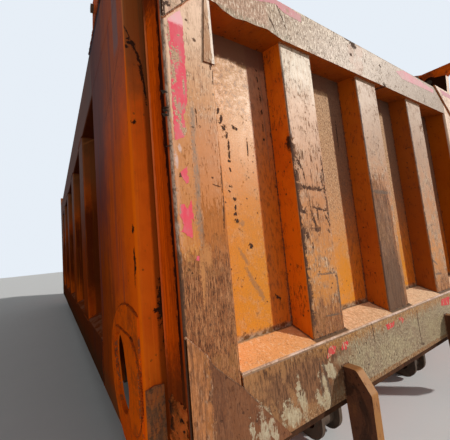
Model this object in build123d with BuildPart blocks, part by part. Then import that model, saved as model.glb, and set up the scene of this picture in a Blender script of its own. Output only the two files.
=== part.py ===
from build123d import *
import os

os.makedirs("parts", exist_ok=True)

# Sizes in millimetres. X runs forward, Y to the left, Z up from the sills' feet.

# Whole body
BODY_WIDTH = 2500.0
BODY_LENGTH = 6640.0
SIDE_HEIGHT = 1900.0
SIDE_DROP = 60.0
WALL_DEPTH = 106.0
SHEET = 6.0
FRAME_PLATE = 8.0
BEND_RADIUS = 14.0

# Underframe
SILL_HEIGHT = 200.0
SILL_WIDTH = 100.0
SILL_SPACING = 860.0
SILL_REAR = 330.0
SILL_FRONT_INSET = 40.0
CROSS_HEIGHT = 120.0
CROSS_FLANGE = 55.0
CROSS_SHEET = 7.0
CROSS_FIRST = 560.0
CROSS_FRONT_INSET = 386.0
CROSS_COUNT = 14
REAR_BEAM_LENGTH = 150.0
FLOOR_PLATE = 8.0
FLOOR_STEP = 40.0

# Tailgate
GATE_INSET = 67.5
GATE_TOP_DROP = 256.0
GATE_DEPTH = 160.0
GATE_GAP = 8.0
GATE_POST = 184.0
GATE_TOP_RAIL = 189.0
GATE_BOTTOM_RAIL = 232.0
GATE_LEDGE_RISE = 46.0
GATE_TOP_RAIL_RISE = 30.0
GATE_PANEL_X = 127.0
GATE_RIB_FACE_X = 21.0
GATE_RIB_WIDTH = 193.0
GATE_RIB_PITCH = 549.0
GATE_RIB_COUNT = 3
GATE_RIB_BEND = 8.0
GATE_CAP = 8.0
GATE_SILL_BAR = (12.0, 30.0)
GATE_SILL_BAR_X = 20.0

# Dent in the top rail: distance from the left post, rise of the rail's lower rear edge
RAIL_DENT = (
    (0.0, 28.0),
    (32.0, 28.0),
    (60.0, 12.0),
    (112.0, 0.0),
    (136.0, 5.0),
    (160.0, 10.0),
    (214.0, 11.0),
    (275.0, 18.0),
    (300.0, 11.0),
    (323.0, 7.0),
    (353.0, 0.0),
)

# Plates welded over the gate's corners, and a strip along one seam
CORNER_PLATE = 10.0
CORNER_PLATE_INSET = 8.0
CORNER_TOP_LEG_LEFT = 282.0
CORNER_TOP_LEG_RIGHT = 296.0
CORNER_TOP_DROP_LEFT = 305.0
CORNER_TOP_DROP_RIGHT = 250.0
# The lower plates' torch-cut edge: distance in from the gate's side, height above its bottom
CORNER_CUT = ((8.0, 382.0), (66.0, 321.0), (86.0, 284.0), (181.0, 194.0), (204.0, 164.0), (350.0, 0.0))
SEAM_STRIP_PLATE = 6.0
SEAM_STRIP_WIDTH = 42.0
SEAM_STRIP_TAPER = 22.0
SEAM_STRIP_DROP = 174.0
SEAM_STRIP_LENGTH = 236.0

# Lock lugs
LUG_REACH = 108.0
LUG_TOP = 120.0
LUG_SHOULDER = 58.0
LUG_NOSE = 46.0
LUG_DROP = 205.0
LUG_TOE = 10.0
LUG_THICKNESS = 40.0
LUG_BEND = 16.0
LUG_LEFT_Y = 511.0
LUG_RIGHT_Y = -449.0

# Side walls
REAR_PLATE_LENGTH = 802.0
FRONT_PLATE_LENGTH = 800.0
SIDE_TOP_RAIL = 294.0
SIDE_BOTTOM_FACE = 235.0
SIDE_LEDGE_RISE = 52.0
SIDE_RIB_WIDTH = 280.0
SIDE_RIB_FIRST = 1780.0
SIDE_RIB_PITCH = 1050.0
SIDE_RIB_COUNT = 4

# Hand hole in each wide rear plate, with a doubler and a ring round it
PORT_X = 432.0
PORT_Z = 190.0
PORT_LENGTH = 290.0
PORT_WIDTH = 190.0
PORT_TILT = 22.0
DOUBLER_PLATE = 6.0
DOUBLER_X = 320.0
DOUBLER_Z = 180.0
DOUBLER_RADII = (335.0, 265.0)
RING_X = 385.0
RING_SIZE = (405.0, 310.0)
RING_BEND = 110.0

# Patch on the left rear corner
PATCH_WIDTH = 58.0
PATCH_HEIGHT = 275.0
PATCH_INSET = 4.0

# Front wall
FRONT_RISE = 210.0
FRONT_TOP_RAIL = 120.0
FRONT_BOTTOM_RAIL = 235.0
FRONT_RIB_WIDTH = 193.0
FRONT_RIB_PITCH = 549.0
FRONT_RIB_COUNT = 3

# Gate hinge
HINGE_X = 100.0
HINGE_DROP = 110.0
HINGE_PIN_RADIUS = 20.0
HINGE_PIN_FIT = 0.5
HINGE_PIN_HEAD = 8.0
HINGE_EYE_RADIUS = 45.0
HINGE_EAR_WIDTH = 50.0
HINGE_EAR_GAP = 16.0
BRACKET_WIDTH = 54.0
BRACKET_FOOT = 856.0
BRACKET_FOOT_PLATE = 18.0
BRACKET_RISE = 150.0
BRACKET_CREST = (300.0, 632.0)
BRACKET_STEP = 670.0
BRACKET_NOSE = 45.0
BRACKET_NOSE_HEIGHT = 42.0
HOOK_RADIUS = 22.0
HOOK_LENGTH = 14.0

# Tipping hinge and hoist bracket
TIP_BORE_RADIUS = 30.0
TIP_BUSH_RADIUS = 46.0
TIP_BORE_X = 240.0
TIP_BORE_DROP = 112.0
TIP_PLATE = 20.0
TIP_EYE_RADIUS = 75.0
TIP_TAIL = 330.0
TIP_TAIL_DROP = 160.0
HOIST_BORE_RADIUS = 32.0
HOIST_EYE_RADIUS = 52.0
HOIST_REACH = 120.0
HOIST_HEIGHT = 620.0
HOIST_EAR = 22.0
HOIST_EAR_GAP = 120.0
HOIST_BASE = 16.0
HOIST_BASE_MARGIN = 30.0
HOIST_BASE_HEIGHT = 360.0
HOIST_EAR_INSET = 30.0

# Datum planes worked out from the sizes above
GATE_X = -(BODY_LENGTH + HOIST_REACH + LUG_REACH) / 2 + LUG_REACH
GATE_Z = SILL_HEIGHT + CROSS_HEIGHT + FLOOR_PLATE - FLOOR_STEP
POST_X = GATE_X + GATE_DEPTH + GATE_GAP
FRONT_X = GATE_X + BODY_LENGTH
FLOOR_TOP = GATE_Z + FLOOR_STEP
HALF_WIDTH = BODY_WIDTH / 2
SHEET_OUT = HALF_WIDTH - WALL_DEPTH
SHEET_IN = SHEET_OUT - SHEET
SIDE_BOTTOM_Z = GATE_Z - SIDE_DROP
SIDE_TOP_Z = GATE_Z + SIDE_HEIGHT
SIDE_RAIL_Z = SIDE_TOP_Z - SIDE_TOP_RAIL
FRONT_SHEET_X = FRONT_X - WALL_DEPTH
HALF_GATE = HALF_WIDTH - GATE_INSET
GATE_INNER_Y = HALF_GATE - GATE_POST
GATE_TOP_Z = SIDE_TOP_Z - GATE_TOP_DROP
GATE_RAIL_Z = GATE_TOP_Z - GATE_TOP_RAIL
GATE_SHEET_Z = GATE_Z + GATE_BOTTOM_RAIL + GATE_LEDGE_RISE
GATE_SHEET_TOP_Z = GATE_RAIL_Z + GATE_TOP_RAIL_RISE
SEAM_STRIP_Z = GATE_TOP_Z - SEAM_STRIP_DROP - SEAM_STRIP_LENGTH
CROSS_Z = SILL_HEIGHT
PIN_X = GATE_X + HINGE_X
PIN_Z = SIDE_TOP_Z - HINGE_DROP
FRONT_TOP_Z = SIDE_TOP_Z + FRONT_RISE
FRONT_RAIL_Z = FRONT_TOP_Z - FRONT_TOP_RAIL
BRACKET_Y = HALF_WIDTH - BRACKET_WIDTH
EAR_Y = BRACKET_Y - HINGE_EAR_GAP - HINGE_EAR_WIDTH
CROSS_PITCH = (BODY_LENGTH - CROSS_FIRST - CROSS_FRONT_INSET) / (CROSS_COUNT - 1)
TIP_X = GATE_X + TIP_BORE_X
TIP_Z = SILL_HEIGHT - TIP_BORE_DROP
HOIST_X = FRONT_X + HOIST_REACH - HOIST_EYE_RADIUS
HOIST_Z = GATE_Z + HOIST_HEIGHT


def save(builder, label):
    builder.part.label = label
    export_step(builder.part, "parts/" + label + ".step")


def spread(count, pitch):
    return [(i - (count - 1) / 2) * pitch for i in range(count)]


# Floor plate on its cross members and sills
with BuildPart() as floor_plate:
    with Locations(((POST_X + FRONT_SHEET_X) / 2, 0, FLOOR_TOP - FLOOR_PLATE / 2)):
        Box(FRONT_SHEET_X - POST_X, 2 * SHEET_IN, FLOOR_PLATE)

with BuildPart() as sills:
    with BuildSketch(Plane.YZ.offset(GATE_X + SILL_REAR)):
        with Locations((-SILL_SPACING / 2, SILL_HEIGHT / 2), (SILL_SPACING / 2, SILL_HEIGHT / 2)):
            RectangleRounded(SILL_WIDTH, SILL_HEIGHT, BEND_RADIUS)
            RectangleRounded(
                SILL_WIDTH - 2 * FRAME_PLATE,
                SILL_HEIGHT - 2 * FRAME_PLATE,
                BEND_RADIUS - FRAME_PLATE,
                mode=Mode.SUBTRACT,
            )
    extrude(amount=BODY_LENGTH - SILL_FRONT_INSET - SILL_REAR)

with BuildPart() as cross_members:
    for i in range(CROSS_COUNT):
        x = GATE_X + CROSS_FIRST + i * CROSS_PITCH
        with BuildSketch(Plane.XZ.offset(-SHEET_OUT)):
            with BuildLine():
                Polyline(
                    (x + CROSS_FLANGE, CROSS_Z),
                    (x, CROSS_Z),
                    (x, CROSS_Z + CROSS_HEIGHT),
                    (x + CROSS_FLANGE, CROSS_Z + CROSS_HEIGHT),
                )
                offset(amount=CROSS_SHEET, side=Side.RIGHT)
            make_face()
        extrude(amount=2 * SHEET_OUT)

with BuildPart() as rear_beam:
    with BuildSketch(Plane.XZ.offset(-SHEET_IN)):
        with Locations((POST_X + REAR_BEAM_LENGTH / 2, CROSS_Z + CROSS_HEIGHT / 2)):
            RectangleRounded(REAR_BEAM_LENGTH, CROSS_HEIGHT, BEND_RADIUS)
            RectangleRounded(
                REAR_BEAM_LENGTH - 2 * FRAME_PLATE,
                CROSS_HEIGHT - 2 * FRAME_PLATE,
                BEND_RADIUS - FRAME_PLATE,
                mode=Mode.SUBTRACT,
            )
    extrude(amount=2 * SHEET_IN)

# Tipping hinges: two eyed plates clasp each sill's rear end and carry a bush
with BuildSketch(Plane.XZ) as tip_plate:
    with Locations((TIP_X, TIP_Z)):
        Circle(TIP_EYE_RADIUS)
    with BuildLine():
        Polyline(
            (TIP_X - TIP_EYE_RADIUS, TIP_Z),
            (TIP_X - TIP_EYE_RADIUS, SILL_HEIGHT),
            (TIP_X + TIP_TAIL, SILL_HEIGHT),
            (TIP_X + TIP_TAIL, SILL_HEIGHT - TIP_TAIL_DROP),
            (TIP_X, TIP_Z - TIP_EYE_RADIUS),
            close=True,
        )
    make_face()

with BuildPart() as tipping_hinges:
    for side in (-1, 1):
        for flank in (-1, 1):
            y = side * SILL_SPACING / 2 + flank * (SILL_WIDTH + TIP_PLATE) / 2
            extrude(tip_plate.sketch.moved(Location((0, y + TIP_PLATE / 2, 0))), amount=TIP_PLATE)
        with BuildSketch(Plane.XZ.offset(-(side * SILL_SPACING / 2 + SILL_WIDTH / 2))):
            with Locations((TIP_X, TIP_Z)):
                Circle(TIP_BUSH_RADIUS)
        extrude(amount=SILL_WIDTH)
    with BuildSketch(Plane.XZ.offset(-HALF_WIDTH)):
        with Locations((TIP_X, TIP_Z)):
            Circle(TIP_BORE_RADIUS)
    extrude(amount=BODY_WIDTH, mode=Mode.SUBTRACT)

# Side walls: sheet, ribs, rails and wide corner plates, built on the left and mirrored
with BuildPart() as side_sheet_left:
    sheet_height = SIDE_RAIL_Z - FLOOR_TOP + FLOOR_PLATE
    with Locations(((POST_X + FRONT_X) / 2, SHEET_OUT - SHEET / 2, SIDE_RAIL_Z - sheet_height / 2)):
        Box(FRONT_X - POST_X - 2 * SHEET, SHEET, sheet_height)

with BuildPart() as side_ribs_left:
    for i in range(SIDE_RIB_COUNT):
        x = GATE_X + SIDE_RIB_FIRST + i * SIDE_RIB_PITCH
        with BuildSketch(Plane.XY.offset(SIDE_BOTTOM_Z + SIDE_BOTTOM_FACE)):
            with BuildLine():
                FilletPolyline(
                    (x - SIDE_RIB_WIDTH / 2, SHEET_OUT),
                    (x - SIDE_RIB_WIDTH / 2, HALF_WIDTH),
                    (x + SIDE_RIB_WIDTH / 2, HALF_WIDTH),
                    (x + SIDE_RIB_WIDTH / 2, SHEET_OUT),
                    radius=BEND_RADIUS,
                )
                offset(amount=SHEET, side=Side.RIGHT)
            make_face()
        extrude(amount=SIDE_RAIL_Z - SIDE_BOTTOM_Z - SIDE_BOTTOM_FACE)
    with BuildSketch(Plane.YZ.offset(GATE_X)):
        with BuildLine():
            Polyline(
                (HALF_WIDTH, SIDE_BOTTOM_Z),
                (HALF_WIDTH, SIDE_BOTTOM_Z + SIDE_BOTTOM_FACE),
                (SHEET_OUT, SIDE_BOTTOM_Z + SIDE_BOTTOM_FACE + SIDE_LEDGE_RISE),
                (SHEET_OUT, SIDE_BOTTOM_Z),
                close=True,
            )
        make_face()
    extrude(amount=BODY_LENGTH, mode=Mode.SUBTRACT)

with BuildPart() as side_top_rail_left:
    with BuildSketch(Plane.YZ.offset(POST_X)):
        with Locations(((HALF_WIDTH + SHEET_IN) / 2, SIDE_TOP_Z - SIDE_TOP_RAIL / 2)):
            RectangleRounded(HALF_WIDTH - SHEET_IN, SIDE_TOP_RAIL, BEND_RADIUS)
            RectangleRounded(
                HALF_WIDTH - SHEET_IN - 2 * SHEET,
                SIDE_TOP_RAIL - 2 * SHEET,
                BEND_RADIUS - SHEET,
                mode=Mode.SUBTRACT,
            )
    extrude(amount=FRONT_X - POST_X)

with BuildPart() as side_bottom_rail_left:
    with BuildSketch(Plane.YZ.offset(POST_X + REAR_PLATE_LENGTH)) as rail_face:
        with BuildLine():
            Polyline(
                (SHEET_OUT, SIDE_BOTTOM_Z),
                (HALF_WIDTH, SIDE_BOTTOM_Z),
                (HALF_WIDTH, SIDE_BOTTOM_Z + SIDE_BOTTOM_FACE),
                (SHEET_OUT, SIDE_BOTTOM_Z + SIDE_BOTTOM_FACE + SIDE_LEDGE_RISE),
                close=True,
            )
        make_face()
        fillet(rail_face.vertices().sort_by(Axis.Y)[2], BEND_RADIUS)
        offset(amount=-SHEET, mode=Mode.SUBTRACT)
    extrude(amount=FRONT_X - FRONT_PLATE_LENGTH - POST_X - REAR_PLATE_LENGTH)

# The hand hole that goes through the wide rear plate, its doubler and its ring
with BuildSketch(Plane.XZ) as port_hole:
    with Locations(Location((PORT_X + GATE_X, PORT_Z + GATE_Z, 0), (0, 0, 90 - PORT_TILT))):
        SlotOverall(PORT_LENGTH, PORT_WIDTH)

with BuildPart(mode=Mode.PRIVATE) as port_cut:
    extrude(port_hole.sketch.moved(Location((0, HALF_WIDTH + WALL_DEPTH, 0))), amount=2 * WALL_DEPTH - SHEET)

with BuildPart() as rear_corner_left:
    with BuildSketch(Plane.XY.offset(SIDE_BOTTOM_Z)):
        with BuildLine():
            FilletPolyline(
                (POST_X, SHEET_IN),
                (POST_X, HALF_WIDTH),
                (POST_X + REAR_PLATE_LENGTH, HALF_WIDTH),
                (POST_X + REAR_PLATE_LENGTH, SHEET_OUT),
                radius=BEND_RADIUS,
            )
            offset(amount=SHEET, side=Side.RIGHT)
        make_face()
    extrude(amount=SIDE_RAIL_Z - SIDE_BOTTOM_Z)
    add(port_cut.part, mode=Mode.SUBTRACT)

# Doubler and ring round the hand hole
with BuildPart() as port_doublers:
    with BuildSketch(Plane.XZ.offset(-(HALF_WIDTH + DOUBLER_PLATE))):
        with Locations((GATE_X + DOUBLER_X, GATE_Z + DOUBLER_Z)):
            Ellipse(*DOUBLER_RADII)
        with Locations((POST_X + BEND_RADIUS + REAR_PLATE_LENGTH / 2, SIDE_BOTTOM_Z + SIDE_HEIGHT / 2)):
            Rectangle(REAR_PLATE_LENGTH, SIDE_HEIGHT, mode=Mode.INTERSECT)
    extrude(amount=DOUBLER_PLATE)
    add(port_cut.part, mode=Mode.SUBTRACT)
    mirror(about=Plane.XZ)

with BuildPart() as port_rings:
    with BuildSketch(Plane.XZ.offset(-(HALF_WIDTH + 2 * DOUBLER_PLATE))):
        with Locations((GATE_X + RING_X, GATE_Z + PORT_Z)):
            RectangleRounded(*RING_SIZE, RING_BEND)
    extrude(amount=DOUBLER_PLATE)
    add(port_cut.part, mode=Mode.SUBTRACT)
    mirror(about=Plane.XZ)

# Patch plate low on the left rear corner
with BuildPart() as corner_patch:
    with BuildSketch(Plane.YZ.offset(POST_X - FRAME_PLATE)):
        with BuildLine():
            Polyline(
                (HALF_WIDTH - PATCH_INSET, SIDE_BOTTOM_Z),
                (HALF_WIDTH - PATCH_INSET, SIDE_BOTTOM_Z + PATCH_HEIGHT - 2 * PATCH_INSET),
                (HALF_WIDTH - PATCH_INSET - PATCH_WIDTH / 2, SIDE_BOTTOM_Z + PATCH_HEIGHT),
                (HALF_WIDTH - PATCH_INSET - PATCH_WIDTH, SIDE_BOTTOM_Z + PATCH_HEIGHT - PATCH_INSET),
                (HALF_WIDTH - PATCH_INSET - PATCH_WIDTH, SIDE_BOTTOM_Z),
                close=True,
            )
        make_face()
    extrude(amount=FRAME_PLATE)

with BuildPart() as front_corner_left:
    with BuildSketch(Plane.XY.offset(SIDE_BOTTOM_Z)):
        with BuildLine():
            FilletPolyline(
                (FRONT_X - FRONT_PLATE_LENGTH, SHEET_OUT),
                (FRONT_X - FRONT_PLATE_LENGTH, HALF_WIDTH),
                (FRONT_X, HALF_WIDTH),
                (FRONT_X, SHEET_IN),
                radius=BEND_RADIUS,
            )
            offset(amount=SHEET, side=Side.RIGHT)
        make_face()
    extrude(amount=SIDE_RAIL_Z - SIDE_BOTTOM_Z)

# Front wall
with BuildPart() as front_sheet:
    with Locations((FRONT_SHEET_X + SHEET / 2, 0, (FLOOR_TOP + FRONT_RAIL_Z) / 2)):
        Box(SHEET, 2 * SHEET_IN, FRONT_RAIL_Z - FLOOR_TOP)

with BuildPart() as front_ribs:
    for y in spread(FRONT_RIB_COUNT, FRONT_RIB_PITCH):
        with BuildSketch(Plane.XY.offset(SIDE_BOTTOM_Z + FRONT_BOTTOM_RAIL)):
            with BuildLine():
                FilletPolyline(
                    (FRONT_SHEET_X + SHEET, y + FRONT_RIB_WIDTH / 2),
                    (FRONT_X, y + FRONT_RIB_WIDTH / 2),
                    (FRONT_X, y - FRONT_RIB_WIDTH / 2),
                    (FRONT_SHEET_X + SHEET, y - FRONT_RIB_WIDTH / 2),
                    radius=BEND_RADIUS,
                )
                offset(amount=SHEET, side=Side.RIGHT)
            make_face()
        extrude(amount=FRONT_RAIL_Z - SIDE_BOTTOM_Z - FRONT_BOTTOM_RAIL)

with BuildPart() as front_top_rail:
    with BuildSketch(Plane.XZ.offset(-HALF_WIDTH)):
        with Locations(((FRONT_SHEET_X + FRONT_X) / 2, (FRONT_RAIL_Z + FRONT_TOP_Z) / 2)):
            RectangleRounded(WALL_DEPTH, FRONT_TOP_RAIL, BEND_RADIUS)
            RectangleRounded(
                WALL_DEPTH - 2 * SHEET,
                FRONT_TOP_RAIL - 2 * SHEET,
                BEND_RADIUS - SHEET,
                mode=Mode.SUBTRACT,
            )
    extrude(amount=BODY_WIDTH)

with BuildPart() as front_bottom_rail:
    with BuildSketch(Plane.XZ.offset(-SHEET_IN)):
        with Locations(((FRONT_SHEET_X + SHEET + FRONT_X) / 2, SIDE_BOTTOM_Z + FRONT_BOTTOM_RAIL / 2)):
            RectangleRounded(WALL_DEPTH - SHEET, FRONT_BOTTOM_RAIL, BEND_RADIUS)
            RectangleRounded(
                WALL_DEPTH - 3 * SHEET,
                FRONT_BOTTOM_RAIL - 2 * SHEET,
                BEND_RADIUS - SHEET,
                mode=Mode.SUBTRACT,
            )
    extrude(amount=2 * SHEET_IN)

with BuildPart() as headboard_posts:
    with BuildSketch(Plane.XY.offset(SIDE_TOP_Z)):
        for side in (-1, 1):
            with Locations(((FRONT_SHEET_X + FRONT_X) / 2, side * (HALF_WIDTH + SHEET_IN) / 2)):
                RectangleRounded(WALL_DEPTH, HALF_WIDTH - SHEET_IN, BEND_RADIUS)
                RectangleRounded(
                    WALL_DEPTH - 2 * SHEET,
                    HALF_WIDTH - SHEET_IN - 2 * SHEET,
                    BEND_RADIUS - SHEET,
                    mode=Mode.SUBTRACT,
                )
    extrude(amount=FRONT_RISE - FRONT_TOP_RAIL)

# Hoist bracket on the front wall's middle rib
with BuildPart() as hoist_bracket:
    with Locations((FRONT_X + HOIST_BASE / 2, 0, HOIST_Z)):
        Box(HOIST_BASE, FRONT_RIB_WIDTH + 2 * HOIST_BASE_MARGIN, HOIST_BASE_HEIGHT)
    with BuildSketch(Plane.XZ.offset(-HOIST_EAR_GAP / 2)):
        with BuildLine():
            Polyline(
                (FRONT_X + HOIST_BASE, HOIST_Z - HOIST_BASE_HEIGHT / 2 + HOIST_EAR_INSET),
                (HOIST_X, HOIST_Z - HOIST_EYE_RADIUS),
                (HOIST_X, HOIST_Z + HOIST_EYE_RADIUS),
                (FRONT_X + HOIST_BASE, HOIST_Z + HOIST_BASE_HEIGHT / 2 - 2 * HOIST_EAR_INSET),
                close=True,
            )
        make_face()
        with Locations((HOIST_X, HOIST_Z)):
            Circle(HOIST_EYE_RADIUS)
            Circle(HOIST_BORE_RADIUS, mode=Mode.SUBTRACT)
    extrude(amount=-HOIST_EAR)
    mirror(about=Plane.XZ)

# Gate hinge brackets stand on the side rails and reach back over the gate
with BuildPart() as gate_hinge_brackets:
    with BuildSketch(Plane.XZ.offset(-BRACKET_Y)):
        with BuildLine():
            Polyline(
                (POST_X, PIN_Z - HINGE_EYE_RADIUS),
                (PIN_X, PIN_Z - HINGE_EYE_RADIUS),
                (PIN_X - HINGE_EYE_RADIUS, PIN_Z),
                (GATE_X - BRACKET_NOSE, SIDE_TOP_Z - BRACKET_NOSE_HEIGHT),
                (GATE_X - BRACKET_NOSE, SIDE_TOP_Z),
                (POST_X, SIDE_TOP_Z + BRACKET_FOOT_PLATE),
                (POST_X + BRACKET_CREST[0], SIDE_TOP_Z + BRACKET_RISE),
                (POST_X + BRACKET_CREST[1], SIDE_TOP_Z + BRACKET_RISE),
                (POST_X + BRACKET_STEP, SIDE_TOP_Z + BRACKET_FOOT_PLATE),
                (POST_X + BRACKET_FOOT, SIDE_TOP_Z + BRACKET_FOOT_PLATE),
                (POST_X + BRACKET_FOOT, SIDE_TOP_Z),
                (POST_X, SIDE_TOP_Z),
                close=True,
            )
        make_face()
        with Locations((PIN_X, PIN_Z)):
            Circle(HINGE_EYE_RADIUS)
            Circle(HINGE_PIN_RADIUS + HINGE_PIN_FIT, mode=Mode.SUBTRACT)
    extrude(amount=-BRACKET_WIDTH)
    mirror(about=Plane.XZ)

# Rope hooks, short stubs on the brackets' outer faces
with BuildPart() as rope_hooks:
    with BuildSketch(Plane.XZ.offset(-(HALF_WIDTH + HOOK_LENGTH))):
        with Locations((POST_X + BRACKET_CREST[1] - HOOK_RADIUS, SIDE_TOP_Z + BRACKET_RISE * 2 / 3)):
            Circle(HOOK_RADIUS)
    extrude(amount=HOOK_LENGTH)
    mirror(about=Plane.XZ)

# Tailgate frame, box sections round a recessed sheet
with BuildPart() as gate_sheet:
    with Locations((GATE_X + GATE_PANEL_X + SHEET / 2, 0, (GATE_SHEET_Z + GATE_SHEET_TOP_Z) / 2)):
        Box(SHEET, 2 * GATE_INNER_Y, GATE_SHEET_TOP_Z - GATE_SHEET_Z)

with BuildPart() as gate_post_left:
    with BuildSketch(Plane.XY.offset(GATE_Z + GATE_CAP)):
        with Locations((GATE_X + GATE_DEPTH / 2, HALF_GATE - GATE_POST / 2)):
            RectangleRounded(GATE_DEPTH, GATE_POST, BEND_RADIUS)
            RectangleRounded(
                GATE_DEPTH - 2 * FRAME_PLATE,
                GATE_POST - 2 * FRAME_PLATE,
                BEND_RADIUS - FRAME_PLATE,
                mode=Mode.SUBTRACT,
            )
    extrude(amount=GATE_TOP_Z - GATE_Z - 2 * GATE_CAP)

with BuildPart() as gate_post_caps:
    for z in (GATE_Z, GATE_TOP_Z - GATE_CAP):
        with BuildSketch(Plane.XY.offset(z)):
            with Locations((GATE_X + GATE_DEPTH / 2, HALF_GATE - GATE_POST / 2)):
                RectangleRounded(GATE_DEPTH, GATE_POST, BEND_RADIUS)
        extrude(amount=GATE_CAP)
    mirror(about=Plane.XZ)


# Top rail, a box tube whose lower rear edge is dented in towards the left post
def rail_section(y, rise, inset):
    with BuildSketch(Plane.XZ.offset(-y)) as section:
        with BuildLine():
            Polyline(
                (GATE_X + inset, GATE_RAIL_Z + rise + inset),
                (GATE_X + inset, GATE_TOP_Z - inset),
                (GATE_X + GATE_DEPTH - inset, GATE_TOP_Z - inset),
                (GATE_X + GATE_DEPTH - inset, GATE_SHEET_TOP_Z + inset),
                (GATE_X + GATE_PANEL_X, GATE_SHEET_TOP_Z + inset),
                close=True,
            )
        make_face()
        fillet(section.vertices().group_by(Axis.Y)[-1], BEND_RADIUS - inset)
    return section.sketch.face()


with BuildPart() as gate_top_rail:
    stations = [(GATE_INNER_Y - along, rise) for along, rise in RAIL_DENT] + [(-GATE_INNER_Y, 0.0)]
    for inset, mode in ((0, Mode.ADD), (FRAME_PLATE, Mode.SUBTRACT)):
        loft([rail_section(y, rise, inset) for y, rise in stations], ruled=True, mode=mode)

with BuildPart() as gate_bottom_rail:
    with BuildSketch(Plane.XZ.offset(-GATE_INNER_Y)) as gate_rail_face:
        with BuildLine():
            Polyline(
                (GATE_X, GATE_Z),
                (GATE_X, GATE_Z + GATE_BOTTOM_RAIL),
                (GATE_X + GATE_PANEL_X, GATE_SHEET_Z),
                (GATE_X + GATE_DEPTH, GATE_SHEET_Z),
                (GATE_X + GATE_DEPTH, GATE_Z),
                close=True,
            )
        make_face()
        fillet(gate_rail_face.vertices().group_by(Axis.X)[0].sort_by(Axis.Y)[-1], BEND_RADIUS)
        offset(amount=-FRAME_PLATE, mode=Mode.SUBTRACT)
    extrude(amount=2 * GATE_INNER_Y)

with BuildPart() as gate_ribs:
    for y in spread(GATE_RIB_COUNT, GATE_RIB_PITCH):
        with BuildSketch(Plane.XY.offset(GATE_Z + GATE_BOTTOM_RAIL)):
            with BuildLine():
                FilletPolyline(
                    (GATE_X + GATE_PANEL_X, y - GATE_RIB_WIDTH / 2),
                    (GATE_X + GATE_RIB_FACE_X, y - GATE_RIB_WIDTH / 2),
                    (GATE_X + GATE_RIB_FACE_X, y + GATE_RIB_WIDTH / 2),
                    (GATE_X + GATE_PANEL_X, y + GATE_RIB_WIDTH / 2),
                    radius=GATE_RIB_BEND,
                )
                offset(amount=SHEET, side=Side.RIGHT)
            make_face()
        extrude(amount=GATE_SHEET_TOP_Z - GATE_Z - GATE_BOTTOM_RAIL)
    with BuildSketch(Plane.XZ.offset(-GATE_INNER_Y)):
        for edge_z, sheet_z, far_z in (
            (GATE_Z + GATE_BOTTOM_RAIL, GATE_SHEET_Z, GATE_Z),
            (GATE_RAIL_Z, GATE_SHEET_TOP_Z, GATE_TOP_Z),
        ):
            with BuildLine():
                Polyline(
                    (GATE_X, far_z),
                    (GATE_X, edge_z),
                    (GATE_X + GATE_PANEL_X, sheet_z),
                    (GATE_X + GATE_DEPTH, sheet_z),
                    (GATE_X + GATE_DEPTH, far_z),
                    close=True,
                )
            make_face()
    extrude(amount=2 * GATE_INNER_Y, mode=Mode.SUBTRACT)

# Flat bar under the bottom rail
with BuildPart() as gate_sill_bar:
    with Locations((GATE_X + GATE_SILL_BAR_X, 0, GATE_Z - GATE_SILL_BAR[1] / 2)):
        Box(GATE_SILL_BAR[0], 2 * GATE_INNER_Y, GATE_SILL_BAR[1])

# Plates over the gate's corners: triangles above, torch-cut shapes below
with BuildPart() as gate_corner_plates:
    with BuildSketch(Plane.YZ.offset(GATE_X - CORNER_PLATE)):
        for side, leg, drop in (
            (1, CORNER_TOP_LEG_LEFT, CORNER_TOP_DROP_LEFT),
            (-1, CORNER_TOP_LEG_RIGHT, CORNER_TOP_DROP_RIGHT),
        ):
            outer_y = side * (HALF_GATE - CORNER_PLATE_INSET)
            with BuildLine():
                Polyline(
                    (outer_y, GATE_TOP_Z),
                    (outer_y, GATE_TOP_Z - drop),
                    (outer_y - side * leg, GATE_TOP_Z),
                    close=True,
                )
            make_face()
            with BuildLine():
                Polyline(
                    (outer_y, GATE_Z),
                    *[(side * (HALF_GATE - inset), GATE_Z + height) for inset, height in CORNER_CUT],
                    close=True,
                )
            make_face()
    extrude(amount=CORNER_PLATE)

with BuildPart() as gate_seam_strip:
    with BuildSketch(Plane.YZ.offset(GATE_X - SEAM_STRIP_PLATE)):
        with BuildLine():
            Polyline(
                (GATE_INNER_Y, SEAM_STRIP_Z),
                (GATE_INNER_Y + SEAM_STRIP_WIDTH, SEAM_STRIP_Z),
                (GATE_INNER_Y + SEAM_STRIP_WIDTH - SEAM_STRIP_TAPER, SEAM_STRIP_Z + SEAM_STRIP_LENGTH),
                (GATE_INNER_Y, SEAM_STRIP_Z + SEAM_STRIP_LENGTH),
                close=True,
            )
        make_face()
    extrude(amount=SEAM_STRIP_PLATE)

# Lock lugs: thick plates on the bottom rail that reach down behind it
with BuildPart() as lock_lugs:
    for y in (LUG_LEFT_Y, LUG_RIGHT_Y):
        with BuildSketch(Plane.XZ.offset(-(y + LUG_THICKNESS / 2))) as lug:
            with BuildLine():
                Polyline(
                    (GATE_X, GATE_Z + LUG_TOP),
                    (GATE_X - LUG_SHOULDER, GATE_Z + LUG_TOP),
                    (GATE_X - LUG_REACH, GATE_Z + LUG_NOSE),
                    (GATE_X - LUG_REACH, GATE_Z - LUG_DROP + LUG_SHOULDER),
                    (GATE_X - LUG_SHOULDER, GATE_Z - LUG_DROP),
                    (GATE_X - LUG_TOE, GATE_Z - LUG_DROP + LUG_TOE),
                    (GATE_X, GATE_Z),
                    close=True,
                )
            make_face()
            fillet(lug.vertices().group_by(Axis.X)[0] + lug.vertices().group_by(Axis.X)[1], LUG_BEND)
        extrude(amount=LUG_THICKNESS)

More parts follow.
